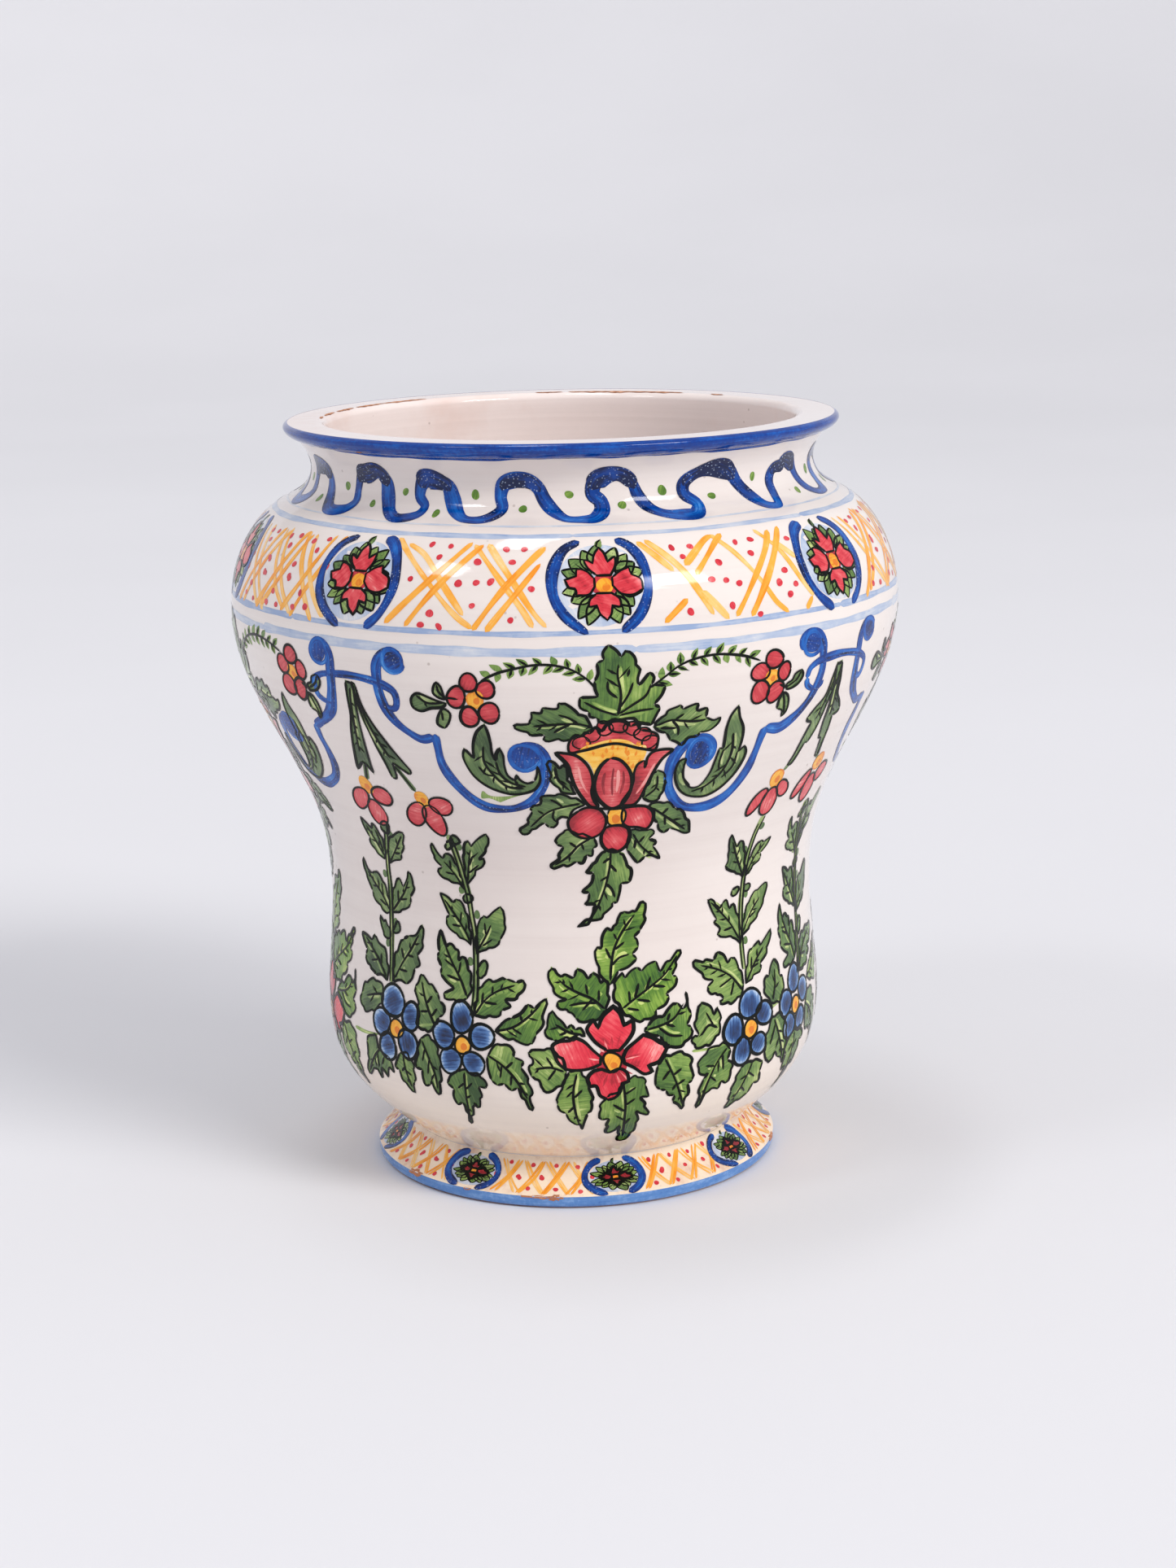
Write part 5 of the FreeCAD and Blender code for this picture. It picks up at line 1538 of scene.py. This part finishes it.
def turned(name, outline, rings, material, replaces, edge=None, lift=0.0):
    """A glazed skin round the vase: its face, its two edges, and its back, SKIN_DEPTH inside."""
    theta = np.arange(SEGMENTS) / SEGMENTS * 2 * math.pi
    x = theta * SHEET_RADIUS
    back = max(8, rings // 2)
    rows, normals, heights = [], [], []
    for i, s in enumerate(np.linspace(outline.low, outline.high, rings)):
        ss = np.full(SEGMENTS, s)
        if edge and i < 3:
            ss = ss + edge(theta) * (1 - i / 3)
        p, n = skin(outline, x, ss, lift)
        rows.append(p)
        normals.append(n)
        heights.append(ss)
    for i, s in enumerate(np.linspace(outline.high, outline.low, back)):
        ss = np.full(SEGMENTS, s)
        if edge and i == back - 1:
            ss = ss + edge(theta)
        p, n = skin(outline, x, ss, -SKIN_DEPTH)
        rows.append(p)
        normals.append(-n)
        heights.append(ss)
    count = len(rows)
    faces = []
    for i in range(count):
        here, there = i * SEGMENTS, (i + 1) % count * SEGMENTS
        for k in range(SEGMENTS):
            m = (k + 1) % SEGMENTS
            faces.append((here + k, here + m, there + m, there + k))
    uv = np.column_stack([np.concatenate(heights), np.tile(x, count)])
    build(name, np.vstack(rows), np.vstack(normals), faces, material, uv, {}, replaces)


def ground_material(name, lining=False):
    """White tin glaze on a pink body: pools, throwing rings, pinholes, warmer low down, brown streaks by the
    foot.
    """
    m = Shader(name, 0.1)
    where = m.world()
    broad = m.noise(m.place(where, (5.0, 5.0, 9.0)), 1.0, 4.0, 0.5)
    rings = m.noise(m.place(where, (3.0, 3.0, 320.0)), 1.0, 3.0, 0.6)
    fine = m.noise(where, 320.0, 3.0, 0.6)
    height = m.add("SeparateXYZ", Vector=where).outputs[2]
    base = m.ramp(broad, (0.25, (225, 213, 207)), (0.5, (233, 223, 217)), (0.75, (239, 232, 227)))
    if lining:
        base = m.ramp(broad, (0.2, (238, 219, 213)), (0.5, (243, 231, 227)), (0.8, (246, 241, 240)))
        blush = m.noise(m.place(where, (14.0, 14.0, 14.0)), 1.0, 5.0, 0.65)
        base = m.mix(m.span(blush, 0.54, 0.74, 0.0, 0.4), base, (222, 184, 168))
    else:
        streaks = m.noise(m.place(where, (60.0, 60.0, 9.0)), 1.0, 5.0, 0.7)
        low = m.span(m.math("ADD", height, m.about_middle(broad, 0.03)), 0.062, 0.018)
        base = m.mix(m.math("MULTIPLY", low, 0.85, True), base, (250, 229, 202))
        foot = m.math("MULTIPLY", m.span(height, 0.036, 0.022), m.span(streaks, 0.5, 0.68), True)
        base = m.mix(m.math("MULTIPLY", foot, 0.6), base, (196, 140, 118))
    base = m.mix(m.span(rings, 0.45, 0.75, 0.0, 0.16), base, (206, 190, 184))
    pins = m.add("TexVoronoi", Vector=where, Scale=95.0).outputs["Distance"]
    base = m.mix(m.span(pins, 0.07, 0.035, 0.0, 0.4), base, (128, 104, 92))
    m.colour(base)
    m.rough(m.span(fine, 0.3, 0.7, 0.035, 0.08))
    m.bump(m.math("ADD", m.math("MULTIPLY", rings, 0.6), m.math("MULTIPLY", fine, 0.25)), 0.16, 0.0006)
    return m.mat


def band_material(name, streak_scale, *stops):
    """Cobalt brushed round the turning vase, darker where it pooled."""
    m = Shader(name, 0.1, 0.42)
    uv = m.brush()
    drag = m.noise(m.place(uv, streak_scale), 1.0, 5.0, 0.65)
    pools = m.noise(m.world(), 60.0, 5.0, 0.6)
    grains = m.noise(m.world(), 700.0, 3.0, 0.6)
    value = m.math("ADD", m.math("MULTIPLY", drag, 0.7), m.math("MULTIPLY", pools, 0.3))
    value = m.math("ADD", value, m.about_middle(grains, 0.35), True)
    m.colour(m.ramp(value, *stops))
    m.rough(m.span(pools, 0.3, 0.7, 0.04, 0.1))
    m.bump(m.math("ADD", drag, grains), 0.15, 0.0003)
    return m.mat


def clay_material(name, light, dark):
    """Bare fired clay, sandy and matt."""
    m = Shader(name, 0.8, 0.25)
    where = m.world()
    sand = m.noise(where, 900.0, 5.0, 0.7)
    patch = m.noise(where, 60.0, 5.0, 0.6)
    grit = m.add("TexVoronoi", Vector=where, Scale=520.0).outputs["Distance"]
    value = m.math("ADD", m.math("MULTIPLY", sand, 0.5), m.math("MULTIPLY", patch, 0.5))
    base = m.ramp(value, (0.3, dark), (0.65, light), (0.9, tuple(min(255, c + 18) for c in light)))
    base = m.mix(m.span(grit, 0.2, 0.08, 0.0, 0.5), base, tuple(int(c * 0.6) for c in dark))
    m.colour(base)
    m.rough(m.span(sand, 0.3, 0.7, 0.72, 0.92))
    m.bump(m.math("ADD", sand, m.math("MULTIPLY", grit, 0.4)), 0.5, 0.0005)
    return m.mat


GROUND = ground_material("tin_glaze_ground")
LINING = ground_material("tin_glaze_lining", True)
LIP_BLUE = band_material(
    "cobalt_lip", (0.9, 0.03, 1.0),
    (0.2, (0, 26, 88)), (0.45, (0, 54, 138)), (0.65, (4, 84, 174)), (0.9, (74, 142, 212)),
)
FOOT_BLUE = band_material(
    "cobalt_foot", (0.6, 0.05, 1.0),
    (0.2, (46, 90, 166)), (0.45, (88, 134, 196)), (0.65, (122, 162, 214)), (0.9, (184, 204, 228)),
)
CLAY = clay_material("fired_terracotta", (186, 116, 82), (150, 84, 56))
SLIP = clay_material("joint_slip", (204, 148, 116), (168, 108, 80))


def lip_edge(theta):
    """How the lip's blue wanders at its lower edge."""
    return 0.55 * np.sin(5 * theta + 1) + 0.35 * np.sin(13 * theta + 2) + 0.25 * np.sin(29 * theta) + 0.4


turned("glaze_ground", BODY, 206, GROUND, ("outer_glaze",))
turned("foot_flank", FLANK, 26, GROUND, ("foot_glaze",))
turned("foot_edge_band", EDGE, 14, FOOT_BLUE, ("foot_cobalt_band",))
turned("lip_band", LIP_SKIN, 34, LIP_BLUE, ("rim_cobalt_band",), lip_edge, 0.05)
turned("rim_seat_glaze", RIM_TOP, 22, LINING, ("rim_glaze",))
turned("lining", merge(MOUTH, INSIDE), 170, LINING, ("inner_glaze",))

paint_all()
for name, made in sorted(layers.items()):
    sheet = np.vstack(made.points)
    points, normals = skin(made.outline, sheet[:, 0], sheet[:, 1], sheet[:, 2])
    material, slot_name = PAINTS[made.kind][:2]
    looks = {"tone": np.concatenate(made.tone), "hue": np.concatenate(made.hue)}
    build(name + "_paint", points, normals, made.faces, material, np.vstack(made.uv), looks)

for name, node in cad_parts.items():
    node.data.materials.clear()
    node.data.materials.append(SLIP if "slip" in name else CLAY)

# ---------------------------------------------------------------- floor, light and camera


def sweep(name, flat, curve, level, turns=96):
    """A plain pale floor that curves up into a wall all round, far behind the camera."""
    profile = [(flat * i / 8, 0) for i in range(1, 9)]
    profile += [(flat + curve * math.sin(a), curve * (1 - math.cos(a))) for a in np.linspace(0.04, 1.1, 26)]
    angles = [k * 2 * math.pi / turns for k in range(turns)]
    points = [(r * math.cos(a), r * math.sin(a), level + z) for r, z in profile for a in angles]
    points.append((0, 0, level))
    faces = [(len(points) - 1, k, (k + 1) % turns) for k in range(turns)]
    for i in range(len(profile) - 1):
        for k in range(turns):
            m = (k + 1) % turns
            faces.append((i * turns + k, (i + 1) * turns + k, (i + 1) * turns + m, i * turns + m))
    floor = shaded(name, points, faces)
    m = Shader("floor_paper", 0.75, 0.15)
    grain = m.noise(m.world(), 1.3, 3.0, 0.5)
    m.colour(m.ramp(grain, (0.3, (229, 229, 233)), (0.7, (232, 232, 236))))
    m.bump(m.noise(m.world(), 300.0, 3.0, 0.6), 0.03, 0.0002)
    floor.data.materials.append(m.mat)


def facing(direction):
    return Vector(direction).to_track_quat("-Z", "Y").to_euler()


def area(name, at, size, watts, colour):
    """A soft box that faces the middle of the vase."""
    light = bpy.data.lights.new(name, "AREA")
    light.shape = "RECTANGLE"
    light.size, light.size_y = size
    light.energy = watts
    light.color = colour
    lamp = bpy.data.objects.new(name, light)
    lamp.location = at
    lamp.rotation_euler = facing(Vector((0, 0, 0.15)) - Vector(at))
    bpy.context.scene.collection.objects.link(lamp)


sweep("studio_floor", 3.0, 5.0, CAD_BOX[0].z - 0.0002)
area("key_softbox", (3.12, -3.18, 3.9), (2.0, 1.1), 95, (1.0, 0.98, 0.95))
area("left_softbox", (-2.5, -1.85, 3.9), (0.9, 0.7), 18, (0.98, 0.99, 1.0))
area("top_softbox", (-0.6, 0.25, 4.9), (1.6, 0.7), 26, (1.0, 1.0, 1.0))

sun = bpy.data.lights.new("window_light", "SUN")
sun.energy, sun.angle, sun.color = 1.24, math.radians(24), (1.0, 0.985, 0.96)
window = bpy.data.objects.new("window_light", sun)
window.rotation_euler = facing((-0.74, 0.52, -0.42))
window.visible_glossy = False
bpy.context.scene.collection.objects.link(window)

world = bpy.data.worlds.new("studio")
world.use_nodes = True
background = world.node_tree.nodes["Background"]
background.inputs["Color"].default_value = (0.97, 0.965, 1.0, 1)
background.inputs["Strength"].default_value = 0.6
bpy.context.scene.world = world
bpy.context.scene.view_settings.view_transform = "Standard"

# The camera was solved from the photograph: its place in metres, and its three turns in radians.
camera = bpy.data.cameras.new("camera")
camera.lens, camera.sensor_width, camera.sensor_fit = 66.52, 36.0, "AUTO"
camera.clip_start, camera.clip_end = 0.05, 100
eye = bpy.data.objects.new("camera", camera)
place = (0.0, -1.14267, 0.4125)
pitch, yaw, roll = 0.22532, 0.006765, -0.020347
ahead = Vector((math.sin(yaw) * math.cos(pitch), math.cos(yaw) * math.cos(pitch), -math.sin(pitch)))
right = Vector((math.cos(yaw), -math.sin(yaw), 0))
above = right.cross(ahead)
x_axis = right * math.cos(roll) + above * math.sin(roll)
y_axis = above * math.cos(roll) - right * math.sin(roll)
eye.matrix_world = Matrix.Translation(place) @ Matrix((x_axis, y_axis, -ahead)).transposed().to_4x4()
bpy.context.scene.collection.objects.link(eye)
bpy.context.scene.camera = eye

bpy.context.view_layer.update()
